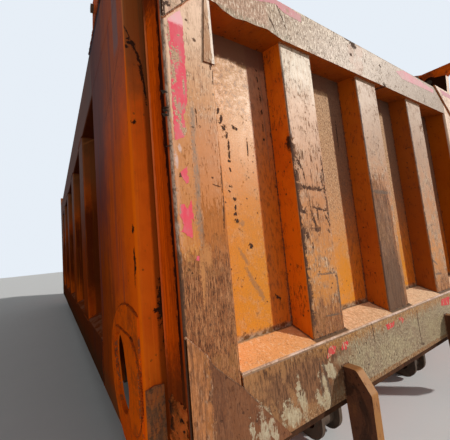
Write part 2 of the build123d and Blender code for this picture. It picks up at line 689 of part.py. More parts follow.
# Gate hinge ears and pins
with BuildPart() as gate_hinge_ears:
    with BuildSketch(Plane.XZ.offset(-(EAR_Y + HINGE_EAR_WIDTH))):
        with BuildLine():
            Polyline(
                (GATE_X, GATE_TOP_Z),
                (GATE_X - CORNER_PLATE, PIN_Z),
                (PIN_X - HINGE_EYE_RADIUS, PIN_Z + HINGE_EYE_RADIUS / 2),
                (PIN_X + HINGE_EYE_RADIUS, PIN_Z),
                (GATE_X + GATE_DEPTH, GATE_TOP_Z),
                close=True,
            )
        make_face()
        with Locations((PIN_X, PIN_Z)):
            Circle(HINGE_EYE_RADIUS)
            Circle(HINGE_PIN_RADIUS, mode=Mode.SUBTRACT)
    extrude(amount=HINGE_EAR_WIDTH)
    mirror(about=Plane.XZ)

with BuildPart() as gate_hinge_pins:
    with BuildSketch(Plane.XZ.offset(-(HALF_WIDTH + HINGE_PIN_HEAD))):
        with Locations((PIN_X, PIN_Z)):
            Circle(HINGE_PIN_RADIUS)
    extrude(amount=HALF_WIDTH + HINGE_PIN_HEAD - EAR_Y + HINGE_PIN_HEAD)
    mirror(about=Plane.XZ)

# Right-hand pieces are the left ones mirrored
with BuildPart() as side_sheet_right:
    mirror(side_sheet_left.part, about=Plane.XZ)

with BuildPart() as side_ribs_right:
    mirror(side_ribs_left.part, about=Plane.XZ)

with BuildPart() as side_top_rail_right:
    mirror(side_top_rail_left.part, about=Plane.XZ)

with BuildPart() as side_bottom_rail_right:
    mirror(side_bottom_rail_left.part, about=Plane.XZ)

with BuildPart() as rear_corner_right:
    mirror(rear_corner_left.part, about=Plane.XZ)

with BuildPart() as front_corner_right:
    mirror(front_corner_left.part, about=Plane.XZ)

with BuildPart() as gate_post_right:
    mirror(gate_post_left.part, about=Plane.XZ)

save(floor_plate, "floor_plate")
save(sills, "sills")
save(cross_members, "cross_members")
save(rear_beam, "rear_beam")
save(tipping_hinges, "tipping_hinges")
save(side_sheet_left, "side_sheet_left")
save(side_sheet_right, "side_sheet_right")
save(side_ribs_left, "side_ribs_left")
save(side_ribs_right, "side_ribs_right")
save(side_top_rail_left, "side_top_rail_left")
save(side_top_rail_right, "side_top_rail_right")
save(side_bottom_rail_left, "side_bottom_rail_left")
save(side_bottom_rail_right, "side_bottom_rail_right")
save(rear_corner_left, "rear_corner_left")
save(rear_corner_right, "rear_corner_right")
save(port_doublers, "port_doublers")
save(port_rings, "port_rings")
save(corner_patch, "corner_patch")
save(front_corner_left, "front_corner_left")
save(front_corner_right, "front_corner_right")
save(front_sheet, "front_sheet")
save(front_ribs, "front_ribs")
save(front_top_rail, "front_top_rail")
save(front_bottom_rail, "front_bottom_rail")
save(headboard_posts, "headboard_posts")
save(hoist_bracket, "hoist_bracket")
save(gate_hinge_brackets, "gate_hinge_brackets")
save(rope_hooks, "rope_hooks")
save(gate_sheet, "gate_sheet")
save(gate_post_left, "gate_post_left")
save(gate_post_right, "gate_post_right")
save(gate_post_caps, "gate_post_caps")
save(gate_top_rail, "gate_top_rail")
save(gate_bottom_rail, "gate_bottom_rail")
save(gate_ribs, "gate_ribs")
save(gate_sill_bar, "gate_sill_bar")
save(gate_corner_plates, "gate_corner_plates")
save(gate_seam_strip, "gate_seam_strip")
save(lock_lugs, "lock_lugs")
save(gate_hinge_ears, "gate_hinge_ears")
save(gate_hinge_pins, "gate_hinge_pins")
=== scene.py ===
import bmesh
import bpy
import math
import random
from mathutils import Matrix, Vector, noise
from mathutils.geometry import delaunay_2d_cdt


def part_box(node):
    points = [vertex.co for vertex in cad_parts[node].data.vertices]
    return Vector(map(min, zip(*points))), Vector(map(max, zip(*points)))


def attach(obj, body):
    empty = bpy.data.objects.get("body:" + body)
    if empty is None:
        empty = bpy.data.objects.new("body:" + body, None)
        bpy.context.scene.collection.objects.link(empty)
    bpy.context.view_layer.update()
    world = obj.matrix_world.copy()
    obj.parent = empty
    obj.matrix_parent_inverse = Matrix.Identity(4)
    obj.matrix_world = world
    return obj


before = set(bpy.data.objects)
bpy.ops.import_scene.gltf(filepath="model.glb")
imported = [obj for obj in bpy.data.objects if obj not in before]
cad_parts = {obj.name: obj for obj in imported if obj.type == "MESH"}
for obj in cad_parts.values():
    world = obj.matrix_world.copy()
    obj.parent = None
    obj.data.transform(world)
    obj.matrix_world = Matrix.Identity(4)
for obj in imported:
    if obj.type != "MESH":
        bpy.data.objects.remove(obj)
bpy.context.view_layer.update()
print("frame loaded,", len(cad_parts), "nodes")

# Places are measured from the middle of the gate's lower rear edge: x forward, y left, z up
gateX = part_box("gate_post_left")[0].x
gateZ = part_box("gate_post_caps")[0].z


def at(x, y, z):
    return Vector((gateX + x, y, gateZ + z))


# The gate's own lines, read from its solids
gateForm = {
    "ribPitch": 0.549, "ribHalf": 0.0965, "ribFace": 0.021, "panel": 0.127, "inner": 0.9985,
    "side": 1.1825, "foot": 0.232, "ledge": 0.278, "rail": 1.46, "railTop": 1.485, "top": 1.644,
    "lugs": (0.511, -0.449), "lugHalf": 0.02, "lugTop": 0.12, "stand": 0.004, "gap": 0.012,
    "plateInset": 0.008,
    # The upper plates: along the rail, down the post
    "leftCut": (0.282, 0.305), "rightCut": (0.296, 0.25),
    # The lower plates' slant: in from the side, height
    "lowCut": (
        (0.008, 0.382), (0.066, 0.321), (0.086, 0.284), (0.181, 0.194), (0.204, 0.164), (0.236, 0.128),
    ),
}


# A node's number or vector that takes part in Python sums
class Val:
    def __init__(self, nodes, socket):
        self.nodes = nodes
        self.socket = socket

    def sum(self, operation, *others):
        return self.nodes.add("Math", {"operation": operation}, dict(enumerate((self, *others))))

    def __add__(self, other):
        return self.sum("ADD", other)

    def __sub__(self, other):
        return self.sum("SUBTRACT", other)

    def __rsub__(self, other):
        return self.nodes.add("Math", {"operation": "SUBTRACT"}, {0: other, 1: self})

    def __mul__(self, other):
        return self.sum("MULTIPLY", other)

    def most(self, other):
        return self.sum("MAXIMUM", other)

    def size(self):
        return self.sum("ABSOLUTE")

    __radd__ = __add__
    __rmul__ = __mul__


class Nodes:
    def __init__(self, tree):
        self.tree = tree
        tree.nodes.clear()

    def add(self, kind, settings=None, sockets=None, out=0):
        prefix = "" if kind.startswith(("Geometry", "Function", "NodeGroup")) else "ShaderNode"
        node = self.tree.nodes.new(prefix + kind)
        for key, value in (settings or {}).items():
            if key == "stops":
                ramp = node.color_ramp
                while len(ramp.elements) < len(value):
                    ramp.elements.new(0.5)
                for element, (position, colour) in zip(ramp.elements, value):
                    element.position = position
                    element.color = (*colour, 1)
            else:
                setattr(node, key, value)
        for key, value in (sockets or {}).items():
            if isinstance(value, Val):
                self.tree.links.new(value.socket, node.inputs[key])
            elif isinstance(value, tuple) and node.inputs[key].type == "RGBA":
                node.inputs[key].default_value = (*value, 1)
            else:
                node.inputs[key].default_value = value
        return Val(self, node.outputs[out]) if node.outputs else None


# What all finishes share: the gloss, the bump, how sharp a worn edge is, and the noises' scales
film = {"tint": (1.0, 0.84, 0.66), "coatRough": 0.22, "bump": 0.9, "edge": (0.86, 0.995)}
noises = {"broad": 2.2, "mottle": 16, "grain": 260, "pitGroups": 6}


# A material's nodes, with the colour, roughness and height that its coats build up
class Graph(Nodes):
    def __init__(self, name, wear=None):
        self.material = bpy.data.materials.new(name)
        self.material.use_nodes = True
        super().__init__(self.material.node_tree)
        self.wear = wear
        origin = {0: self.add("TexCoord", out="Object"), 1: (-gateX, 0, -gateZ)}
        self.place = self.add("VectorMath", {"operation": "ADD"}, origin)
        self.x, self.y, self.z = self.split(self.place)
        self.nx, self.ny, self.nz = self.split(self.add("TexCoord", out="Normal"))

    def split(self, vector):
        outputs = self.add("SeparateXYZ", sockets={0: vector}).socket.node.outputs
        return [Val(self, socket) for socket in outputs]

    def step(self, value, low, high):
        return self.add("MapRange", {"interpolation_type": "SMOOTHSTEP"}, {0: value, 1: low, 2: high})

    def below(self, value, low, high):
        return 1 - self.step(value, low, high)

    def between(self, value, low, high, soft):
        return self.step(value, low - soft, low + soft) * self.below(value, high - soft, high + soft)

    # Faces that look back, down and to the sides; distance from the body's middle plane
    def rear(self, low=0.5, high=0.8):
        return self.step(0 - self.nx, low, high)

    def under(self):
        return self.step(0 - self.nz, 0.4, 0.8)

    def flank(self, low=0.6, high=0.9):
        return self.step(self.ny.size(), low, high)

    def aside(self):
        return self.y.size()

    # Distance from the middle of the nearest gate rib
    def fromRib(self):
        return (self.y - gateForm["ribPitch"]).sum("PINGPONG", gateForm["ribPitch"] / 2)

    # Distance to the left of a gate rib's right edge, or of its left edge, again for each rib
    def pastRib(self, leftEdge=False):
        half = gateForm["ribHalf"]
        return (self.y - half if leftEdge else self.y + half).sum("FLOORED_MODULO", gateForm["ribPitch"])

    def mix(self, share, first, second):
        return self.add("Mix", {"data_type": "RGBA"}, {0: share, 6: first, 7: second}, out=2)

    # A coat over the running colour; the wear row gives its share and its tone, or two tones to blend
    def coat(self, name, where, blend=None, tone=None):
        share, *tones = self.wear[name]
        if tone is None:
            tone = tones[0] if blend is None else self.mix(blend, *tones)
        self.over(where if share == 1 else where * share, tone)

    def over(self, where, tone):
        self.colour = self.mix(where, self.colour, tone)

    def field(self, scale, detail=3.0, rough=0.5, seed=0.0, stretch=(1, 1, 1), warp=0.0):
        moved = {"Vector": self.place, "Location": (seed, 1.7 * seed, -seed), "Scale": stretch}
        place = self.add("Mapping", None, moved)
        sockets = {"Vector": place, "Scale": scale, "Detail": detail, "Roughness": rough, "Distortion": warp}
        return self.add("TexNoise", None, sockets)

    # Noise drawn out upright: its scale across and along the height
    def upright(self, across, along, detail, rough, seed=0.0):
        return self.field(1, detail, rough, seed, (across, across, along))

    def heights(self, stops):
        low, high = stops[0][0], stops[-1][0]
        ramp = [((h - low) / (high - low), colour) for h, colour in stops]
        level = self.add("MapRange", None, {0: self.z, 1: low, 2: high})
        return self.add("ValToRGB", {"stops": ramp}, {0: level})

    # Marks on a wall, in mm: place along it, height, half length, half width, and turn in degrees
    def marks(self, name, along=None, rag=0.7, soft=0.12, wobble=0.006, grain=110.0):
        shake = self.field(grain, 4, 0.7) - 0.5
        along = self.y if along is None else along
        place = self.add("CombineXYZ", None, {0: along + shake * wobble, 1: self.z + shake * wobble})
        found = None
        for a, z, halfLength, halfWidth, turn in self.wear[name]:
            sockets = {
                "Vector": place, "Location": (a / 1000, z / 1000, 0), "Rotation": (0, 0, math.radians(turn)),
                "Scale": (halfLength / 1000, halfWidth / 1000, 1),
            }
            local = self.add("Mapping", {"vector_type": "TEXTURE"}, sockets)
            away = self.add("VectorMath", {"operation": "LENGTH"}, {0: local}, out="Value")
            mark = self.below(away + shake * (rag * 4), 1 - soft, 1 + soft)
            found = mark if found is None else found.most(mark)
        return found

    def edges(self, radius):
        soft = self.add("Bevel", {"samples": 4}, {"Radius": radius})
        sharp = self.add("NewGeometry", out="Normal")
        facing = self.add("VectorMath", {"operation": "DOT_PRODUCT"}, {0: soft, 1: sharp}, out="Value")
        return self.below(facing, *film["edge"])

    def finish(self, look):
        height = {"Height": self.height, "Distance": look["depth"], "Strength": film["bump"]}
        bump = self.add("Bump", None, height)
        sockets = {
            "Base Color": self.colour, "Roughness": self.rough, "Normal": bump,
            "Specular IOR Level": look["gloss"], "Specular Tint": film["tint"],
            "Coat Roughness": film["coatRough"],
        }
        if look.get("coat"):
            share, low, high = look["coat"]
            sockets["Coat Weight"] = self.step(self.z, low, high) * share
        shader = self.add("BsdfPrincipled", None, sockets)
        if look.get("mattFlank"):
            # The faces turned to the sides have lost their gloss
            matt = self.add("BsdfPrincipled", None, {**sockets, "Specular IOR Level": 0.0})
            shader = self.add("MixShader", None, {0: self.flank(0.5, 0.8), 1: shader, 2: matt})
        self.add("OutputMaterial", None, {0: shader})
        return self.material


# Painted plate as weather leaves it: bleached where it meets the sun, with a painted sheen of the sun's
# glare there and painted shade to the right and underneath, flecked with rust, worn at the edges
def weathered(name, look, marks=None, wear=None):
    g = Graph(name, wear)
    seed = look["seed"]
    across, along = look["fleckSize"]
    broad = g.field(noises["broad"], 3, 0.6, seed)
    mottle = g.field(noises["mottle"], 6, 0.66, seed + 3)
    grain = g.field(noises["grain"], 3, 0.7, seed + 5)
    flecks = g.upright(across, along, 4, 0.72, seed + 7)
    streaks = g.upright(80, 5.5, 5, 0.66, seed + 9)
    chips = g.upright(across * 0.8, along * 1.4, 4, 0.75, seed + 8)
    hairs = g.upright(across * 1.8, along * 0.48, 4, 0.78, seed + 15)

    g.colour = g.mix(g.step(broad + (mottle - 0.5) * 0.6, 0.4, 0.64), look["paint"], look["paintDeep"])
    g.over(g.step(streaks, 0.56, 0.72) * 0.5, look["paintStain"])
    # Painted shade: darker towards the gate's right and on faces that look down
    if look.get("paintedShade"):
        dim = g.below(g.y + (mottle - 0.5) * 0.2, -0.55, 0.85) * look["paintedShade"]
        g.over(dim.most(g.under() * 0.8), look["shadeTone"])
    g.height = grain * 0.15 + mottle * 0.3
    g.rough = look["rough"] + (mottle - 0.5) * 0.25

    # Faces that look back, and in part those that look up, take the bleached colours, paler towards the top:
    # partly sun-bleached paint, partly a painted sheen of the sun's glare
    sun = g.rear(0.2, 0.75)
    if look.get("bleachAndSheen"):
        paint = g.colour
        sun = sun.most(g.step(g.nz, 0.3, 0.85) * look["topBleachAndSheen"])
        g.colour = g.heights(look["bleachAndSheen"])
        g.over(g.step(broad + (mottle - 0.5) * 0.8, 0.46, 0.6) * look["second"], look["secondTone"])
        g.over(g.step(mottle + (grain - 0.5) * 0.4, 0.52, 0.66) * look["chalk"], look["chalkTone"])
        share = look["hairShare"]
        g.over(g.step(hairs + (mottle - 0.5) * 0.5, 0.53, 0.56) * (share + 0.12), look["hairTone"])
        g.over(g.step(0.5 - hairs + (mottle - 0.5) * 0.4, 0.03, 0.09) * share * 0.7, look["glintTone"])
        g.over(g.step(streaks + (flecks - 0.5) * 0.4, 0.53, 0.64) * look["streakShare"], look["streakTone"])
        grit = g.step(flecks + (mottle - 0.5) * 0.7, look["nicks"] - 0.09, look["nicks"] - 0.01)
        g.over(grit * look["grit"], look["streakTone"])
        glints = g.step(chips + (mottle - 0.5) * 0.5, 0.55, 0.63)
        g.over(glints * look["grit"] * 0.6, look["glintTone"])
        g.colour = g.mix(sun, paint, g.colour)

    # Rust that takes over the paint from the foot up, in upright flecks
    if look.get("cover"):
        paint = g.colour
        light = g.step(flecks + (mottle - 0.5) * 0.3, 0.45, 0.52)
        g.colour = g.mix(light, look["rustDark"], look["rustLight"])
        g.over(g.step(broad + (mottle - 0.5) * 0.9, 0.46, 0.58) * 0.65, look["rustWarm"])
        g.over(g.step(hairs + (streaks - 0.5) * 0.4, 0.52, 0.55) * 0.9, look["rustGlint"])
        g.over(g.step(chips + (streaks - 0.5) * 0.5, 0.54, 0.6) * 0.5, look["rustDark"])
        reach = look["cover"](g) + (streaks - 0.5) * 1.1 + (flecks - 0.5) * 0.9 + (mottle - 0.5) * 0.5
        cover = g.step(reach, 0.46, 0.6)
        g.colour = g.mix(cover * sun * 0.94, paint, g.colour)
        g.height -= cover * sun * 0.3
        g.rough += cover * 0.35

    # Upright dark nicks, scabs, worn edges
    nick = g.step(flecks + (mottle - 0.5) * 0.55, look["nicks"], look["nicks"] + 0.05)
    scabField = g.field(look["scabScale"], 9, 0.68, seed + 11) + (grain - 0.5) * 0.12
    scab = g.step(scabField, look["scabs"], look["scabs"] + 0.03)
    bitten = g.step(mottle + (grain - 0.5) * 0.5, look["edgeWear"], look["edgeWear"] + 0.1)
    worn = (nick * look["nickShare"]).most(scab * 0.9).most(g.edges(look["edge"]) * bitten * 0.9)
    g.over(worn, g.mix(g.step(grain, 0.4, 0.6), tones["pit"], tones["brown"]))
    g.height -= worn * 0.6
    g.rough += worn * 0.45

    # Pinholes, scattered in loose groups
    pits = g.add("TexVoronoi", None, {"Vector": g.place, "Scale": look["pitScale"], "Randomness": 1.0})
    where = g.step(g.field(noises["pitGroups"], 4, 0.6, seed + 13), 0.44, 0.58)
    pit = g.below(pits + (grain - 0.5) * 0.25, look["pitSize"], look["pitSize"] + 0.07) * where
    g.over(pit * look["pitShare"], tones["pit"])
    g.height -= pit * 0.8

    if marks:
        marks(g)
    return g.finish(look)


tones = {"pit": (0.045, 0.018, 0.01), "brown": (0.15, 0.055, 0.026), "grey": (0.3, 0.235, 0.17)}


# How far rust has climbed the posts: high beside the recess, low at the outer edge
def postCover(g):
    outer = g.step(g.aside() + (g.field(20, 3) - 0.5) * 0.05, 1.085, 1.112)
    inner = g.below(g.z, 0.6, 1.35) * 0.52 + g.below(g.z, 0.52, 0.8) * 0.5
    low = g.below(g.z, 0.54, 0.68) * 1.05
    return inner * (1 - outer) + low * outer


def ribCover(g):
    first = g.below(g.z, 0.3, 0.52) * 0.6 * g.step(g.y, 0.3, 0.4)
    second = g.below(g.z, 0.62, 1.15) * 0.95 * g.between(g.y, -0.062, 0.2, 0.02)
    third = g.below(g.z, 0.25, 0.55) * 0.5
    return first.most(second).most(third) + 0.08


# The bottom rail is brown at its left end and along both long edges
def sillCover(g):
    left = g.step(g.y + (g.field(10, 5, 0.7) - 0.5) * 0.5 + g.z * 0.9, 0.62, 0.7) * 0.8
    top = g.step(g.z + (g.upright(30, 4, 3, 0.5) - 0.5) * 0.1, 0.165, 0.2) * 0.5
    foot = g.below(g.z, 0.012, 0.035) * 0.7
    return left.most(top).most(foot) * g.rear(0.8, 0.97)


def plateCover(g):
    lit = g.step(g.aside() + (g.field(20, 4, 0.7) - 0.5) * 0.08, 1.09, 1.12)
    return (1 - lit * 0.5) * g.below(g.z, 0.7, 1.0)


# Orange paint on the sides, then each part's own finish; a coat is its share and the heights it fades in at
sideLook = {
    "seed": 1.0, "paint": (0.9, 0.14, 0.005), "paintDeep": (0.76, 0.098, 0.004),
    "paintStain": (0.46, 0.06, 0.006), "rough": 0.42, "gloss": 0.0, "coat": (0.05, 0.85, 1.3),
    "fleckSize": (200, 40), "nicks": 0.7, "nickShare": 0.6, "scabScale": 9.0, "scabs": 0.69, "edge": 0.005,
    "edgeWear": 0.53, "pitScale": 34.0, "pitSize": 0.1, "pitShare": 0.85, "depth": 0.0012,
}
rearLook = {
    **sideLook, "seed": 4.0, "paint": (0.8, 0.19, 0.004), "paintDeep": (0.68, 0.135, 0.003), "rough": 0.46,
    "gloss": 0.3, "coat": None, "topBleachAndSheen": 0.8, "paintedShade": 0.75, "second": 0.35,
    "secondTone": (0.42, 0.26, 0.17), "hairShare": 0.42, "hairTone": (0.27, 0.115, 0.05),
    "rustWarm": (0.27, 0.105, 0.028), "shadeTone": (0.22, 0.045, 0.004), "chalk": 0.45,
    "chalkTone": (0.55, 0.36, 0.2), "streakShare": 0.5, "streakTone": (0.3, 0.125, 0.052),
    "rustDark": (0.062, 0.019, 0.009), "rustLight": (0.24, 0.078, 0.027), "rustGlint": (0.46, 0.195, 0.078),
    "grit": 0.75, "glintTone": (0.76, 0.54, 0.36), "fleckSize": (210, 46), "nicks": 0.63, "nickShare": 0.8,
    "scabs": 0.67, "pitShare": 0.9, "depth": 0.0022,
}
postLook = {
    **rearLook, "mattFlank": True,
    "bleachAndSheen": (
        (0.0, (0.3, 0.11, 0.028)), (0.6, (0.54, 0.175, 0.022)), (0.85, (0.5, 0.165, 0.03)),
        (1.1, (0.52, 0.225, 0.08)), (1.3, (0.66, 0.41, 0.255)), (1.45, (0.82, 0.555, 0.385)),
        (1.64, (0.8, 0.54, 0.37)),
    ),
    "cover": postCover,
}
ribLook = {
    **rearLook, "seed": 9.0, "fleckSize": (230, 38),
    "bleachAndSheen": (
        (0.22, (0.4, 0.15, 0.034)), (0.5, (0.56, 0.2, 0.034)), (0.85, (0.43, 0.16, 0.043)),
        (1.15, (0.42, 0.225, 0.105)), (1.46, (0.54, 0.42, 0.29)),
    ),
    "streakTone": (0.26, 0.125, 0.06), "nicks": 0.61, "glintTone": (0.66, 0.5, 0.34), "second": 0.3,
    "secondTone": (0.46, 0.28, 0.17), "hairShare": 0.38, "hairTone": (0.25, 0.125, 0.065),
    "cover": ribCover,
}
railLook = {
    **rearLook, "seed": 14.0, "fleckSize": (150, 62), "chalk": 0.6, "chalkTone": (0.46, 0.34, 0.22),
    "bleachAndSheen": ((1.45, (0.34, 0.22, 0.13)), (1.58, (0.35, 0.225, 0.132)), (1.63, (0.46, 0.32, 0.2))),
    "streakTone": (0.21, 0.115, 0.06), "nicks": 0.6, "nickShare": 0.6, "topBleachAndSheen": 1.0, "grit": 0.8,
    "glintTone": (0.8, 0.68, 0.52), "second": 0.5, "secondTone": (0.29, 0.175, 0.1), "hairShare": 0.6,
    "hairTone": (0.19, 0.11, 0.058),
}
panelLook = {
    **rearLook, "seed": 19.0, "rough": 0.4, "chalk": 0.3, "chalkTone": (0.62, 0.34, 0.15),
    "streakShare": 0.12, "second": 0.2, "secondTone": (0.5, 0.2, 0.05), "hairShare": 0.12,
    "hairTone": (0.4, 0.15, 0.04),
    "bleachAndSheen": (
        (0.27, (0.62, 0.22, 0.012)), (0.6, (0.6, 0.205, 0.012)), (0.9, (0.55, 0.18, 0.014)),
        (1.15, (0.5, 0.22, 0.05)), (1.4, (0.52, 0.3, 0.14)),
    ),
    "fleckSize": (170, 80), "nicks": 0.665, "scabs": 0.69, "pitScale": 38.0, "pitSize": 0.09,
    "paintedShade": 0.25, "grit": 0.3, "streakTone": (0.36, 0.14, 0.04), "glintTone": (0.72, 0.4, 0.2),
}
sillLook = {
    **rearLook, "seed": 23.0, "chalk": 0.5, "chalkTone": (0.42, 0.34, 0.21), "streakShare": 0.45,
    "second": 0.7, "secondTone": (0.26, 0.155, 0.095), "hairShare": 0.4, "hairTone": (0.17, 0.1, 0.055),
    "streakTone": (0.22, 0.14, 0.065), "fleckSize": (190, 75), "topBleachAndSheen": 1.0,
    "glintTone": (0.5, 0.4, 0.25), "rustDark": (0.085, 0.028, 0.01), "rustLight": (0.27, 0.115, 0.045),
    "rustGlint": (0.44, 0.24, 0.1),
    "bleachAndSheen": (
        (0.0, (0.36, 0.27, 0.15)), (0.228, (0.36, 0.27, 0.15)), (0.236, (0.8, 0.45, 0.21)),
        (0.28, (0.8, 0.45, 0.21)),
    ),
    "cover": sillCover,
}
plateLook = {
    **postLook, "seed": 27.0, "rustDark": (0.06, 0.021, 0.011), "rustLight": (0.145, 0.05, 0.021),
    "rustGlint": (0.26, 0.108, 0.048), "rustWarm": (0.21, 0.07, 0.022), "hairShare": 0.5,
    "cover": plateCover,
}
stripLook = {
    **postLook, "seed": 29.0, "paint": (0.2, 0.09, 0.045), "paintDeep": (0.11, 0.05, 0.03), "cover": None,
    "bleachAndSheen": (
        (1.22, (0.38, 0.165, 0.065)), (1.4, (0.42, 0.215, 0.105)), (1.46, (0.66, 0.42, 0.27)),
        (1.6, (0.78, 0.53, 0.36)),
    ),
    "streakShare": 0.6, "secondTone": (0.3, 0.135, 0.06),
}
steelLook = {
    **sideLook, "seed": 31.0, "paint": (0.1, 0.07, 0.05), "paintDeep": (0.055, 0.04, 0.03),
    "paintStain": (0.16, 0.07, 0.032), "rough": 0.65, "gloss": 0.15, "coat": None, "scabs": 0.6,
    "nicks": 0.62,
}
lugLook = {
    **rearLook, "seed": 41.0, "paint": (0.125, 0.046, 0.022), "paintDeep": (0.085, 0.032, 0.016),
    "paintStain": (0.05, 0.022, 0.012),
    "bleachAndSheen": ((-0.2, (0.33, 0.145, 0.042)), (0.12, (0.34, 0.15, 0.045))), "scabs": 0.7, "paintedShade": 0.0,
    "gloss": 0.12, "glintTone": (0.42, 0.19, 0.06), "chalkTone": (0.36, 0.15, 0.048),
    "secondTone": (0.34, 0.14, 0.05), "hairShare": 0.2, "chalk": 0.2, "grit": 0.4,
}
weldLook = {
    **rearLook, "seed": 43.0, "paint": (0.98, 0.24, 0.016), "paintDeep": (0.55, 0.12, 0.01), "scabs": 0.6,
    "paintedShade": 0.3,
    "bleachAndSheen": (
        (0.0, (0.1, 0.04, 0.02)), (0.2, (0.17, 0.07, 0.035)), (0.32, (0.42, 0.22, 0.11)),
        (0.42, (0.4, 0.2, 0.1)), (1.0, (0.2, 0.09, 0.045)), (1.7, (0.26, 0.15, 0.09)),
    ),
    "edgeWear": 0.9, "second": 0.8, "secondTone": (0.12, 0.05, 0.026),
}
bodyWeldLook = {
    **sideLook, "seed": 47.0, "paint": (0.25, 0.045, 0.01), "paintDeep": (0.07, 0.02, 0.01),
    "edgeWear": 0.9,
}
# A darker copy of the underframe steel for the bar under the gate, as painted shade
shadedUnderLook = {
    **steelLook, "seed": 53.0, "paint": (0.07, 0.03, 0.015), "paintDeep": (0.035, 0.016, 0.009),
    "paintStain": (0.13, 0.05, 0.018), "gloss": 0.04,
}
bedLook = {
    **steelLook, "seed": 49.0, "paint": (0.3, 0.26, 0.22), "paintDeep": (0.2, 0.155, 0.12),
    "paintStain": (0.24, 0.12, 0.06), "rough": 0.4, "scabs": 0.63,
}

# The posts' outer rear edges have lost their paint; cracks and a grey run beside them
postWear = {
    "smooth": (0.35, (0.84, 0.58, 0.41)), "rim": (0.92,), "rimFoot": (0.075, 0.034, 0.02),
    "taupe": ((0.115, 0.07, 0.05), (0.37, 0.245, 0.175)), "ledge": (0.42, (0.8, 0.56, 0.4)),
    "ochre": (0.6, (0.6, 0.27, 0.07), (0.44, 0.185, 0.06)), "rusted": (0.5, (0.42, 0.15, 0.052)),
    "warm": (0.58, (0.48, 0.14, 0.02)), "edgeHighlight": (0.5, (0.82, 0.66, 0.5)),
    "flank": (0.85, (0.96, 0.118, 0.003)), "runs": (0.6, (0.46, 0.046, 0.002)),
    "line": (0.97, (0.018, 0.006, 0.005)), "redder": (0.5, (0.34, 0.034, 0.003)),
    "bright": (1, (1.0, 0.25, 0.07)), "deep": (1, (0.12, 0.028, 0.008)), "shade": (1, (0.09, 0.016, 0.006)),
    "cracked": (0.9, (0.09, 0.04, 0.022)), "run": (0.75, (0.52, 0.215, 0.07)),
    "greyRun": (1, (0.225, 0.14, 0.09)), "pink": (0.6, (0.62, 0.48, 0.44)),
    "cracks": (
        (1008, 840, 45, 3, 92), (1010, 1245, 30, 5, 96), (1083, 1054, 9, 3, 80), (1067, 1303, 6, 6, 0),
        (1091, 1365, 4, 4, 0), (1006, 1190, 30, 3, 95), (1030, 815, 14, 2, 15), (1012, 730, 50, 3, 95),
        (1083, 1020, 20, 1.5, 90), (1150, 842, 8, 5, 120), (1098, 998, 5, 3, 0), (1043, 840, 4, 3, 0),
    ),
    "runSpots": ((1103, 560, 65, 7, 90), (1106, 500, 50, 3, 90), (1085, 600, 35, 14, 80)),
    "greySpots": (
        (1096, 1020, 60, 7.5, 92), (1100, 925, 60, 6.5, 90), (1098, 820, 100, 9, 92),
        (1100, 700, 70, 10, 88),
    ),
    "pinkSpots": ((1160, 885, 20, 5, 90), (1147, 925, 12, 5, 80)),
}


def postMarks(g):
    shake = g.field(70, 5, 0.7, 51) - 0.5
    tall = g.upright(150, 30, 4, 0.7, 52) - 0.5
    away = g.aside()
    near = g.below(g.x, 0.01, 0.017)
    upper = g.step(g.z + tall * 0.3, 0.6, 0.68)
    g.coat("smooth", g.step(g.z + shake * 0.3, 1.18, 1.36) * near * g.below(away, 1.1, 1.12))
    # Bare rim, taupe above and rusted dark below
    rim = g.step(away + tall * 0.022 + shake * 0.012, 1.165, 1.171) * near
    taupe = g.mix(g.step(tall + shake * 0.5 + 0.5, 0.42, 0.56), *g.wear["taupe"])
    g.coat("rim", rim, tone=g.mix(upper, g.wear["rimFoot"], taupe))
    g.height += rim * shake * 1.5
    g.coat("ledge", g.between(away + tall * 0.012, 1.155, 1.166, 0.002) * near * upper)
    ochre = g.between(away + tall * 0.02, 1.108, 1.16, 0.006) * near
    g.coat("ochre", ochre * g.between(g.z + shake * 0.3, 0.61, 1.02, 0.03), g.step(tall + 0.5, 0.44, 0.58))
    rusted = g.between(away + shake * 0.02, 1.012, 1.09, 0.01) * near
    rusted = rusted * g.between(g.z + shake * 0.4, 0.62, 1.05, 0.08)
    g.coat("rusted", rusted * g.step(tall + shake * 0.4 + 0.5, 0.4, 0.55))
    # More orange left where the bleaching ends
    g.coat("warm", g.between(g.z + tall * 0.3, 0.62, 1.0, 0.07) * near * (1 - rim))
    # Painted highlight along the post's edge at the recess
    g.coat("edgeHighlight", g.below(away + shake * 0.004, 1.001, 1.004) * g.step(g.z + shake * 0.5, 0.75, 1.0) * near)
    # The flank behind the rim: a torn black line next to it, streaks further in
    flank = g.flank() * g.step(away, 1.15, 1.17)
    g.coat("flank", flank)
    g.coat("runs", flank * g.step(g.upright(120, 3.5, 4, 0.7, 56), 0.47, 0.6))
    wide = g.step(g.z, 0.8, 1.05) * g.step(1.28 - g.z, 0.0, 0.12) * 0.012 + 0.01
    line = flank * g.below(g.x - wide + tall * 0.05 + shake * 0.02, 0.014, 0.022) * g.step(g.x, 0.006, 0.011)
    g.coat("line", line)
    g.coat("redder", flank * g.below(g.x + tall * 0.08, 0.055, 0.085) * (1 - line))
    # Painted highlight along the flank's rounded front edge
    bright = flank * g.step(g.x + tall * 0.03 + shake * 0.01, 0.124, 0.134)
    g.coat("bright", bright * (0.3 + g.step(g.z + shake * 0.3, 0.5, 1.0) * 0.5))
    # Painted shade low on the flank, and at its top under the hinge ear
    g.coat("deep", flank * g.below(g.z + shake * 0.2, 0.22, 0.4) * 0.8)
    g.coat("shade", flank * g.step(g.z + shake * 0.2 - g.x * 0.3, 1.33, 1.45) * 0.85)
    cracks = g.marks("cracks")
    g.coat("cracked", cracks)
    g.coat("run", g.marks("runSpots", soft=0.4, wobble=0.02) * near)
    greyRun = g.marks("greySpots", soft=0.5, wobble=0.02)
    g.coat("greyRun", greyRun * (0.45 + g.step(tall + shake * 0.8 + 0.5, 0.4, 0.6) * 0.45))
    g.coat("pink", g.marks("pinkSpots", soft=0.5, wobble=0.012))
    g.rough += cracks * 0.5
    g.height -= cracks


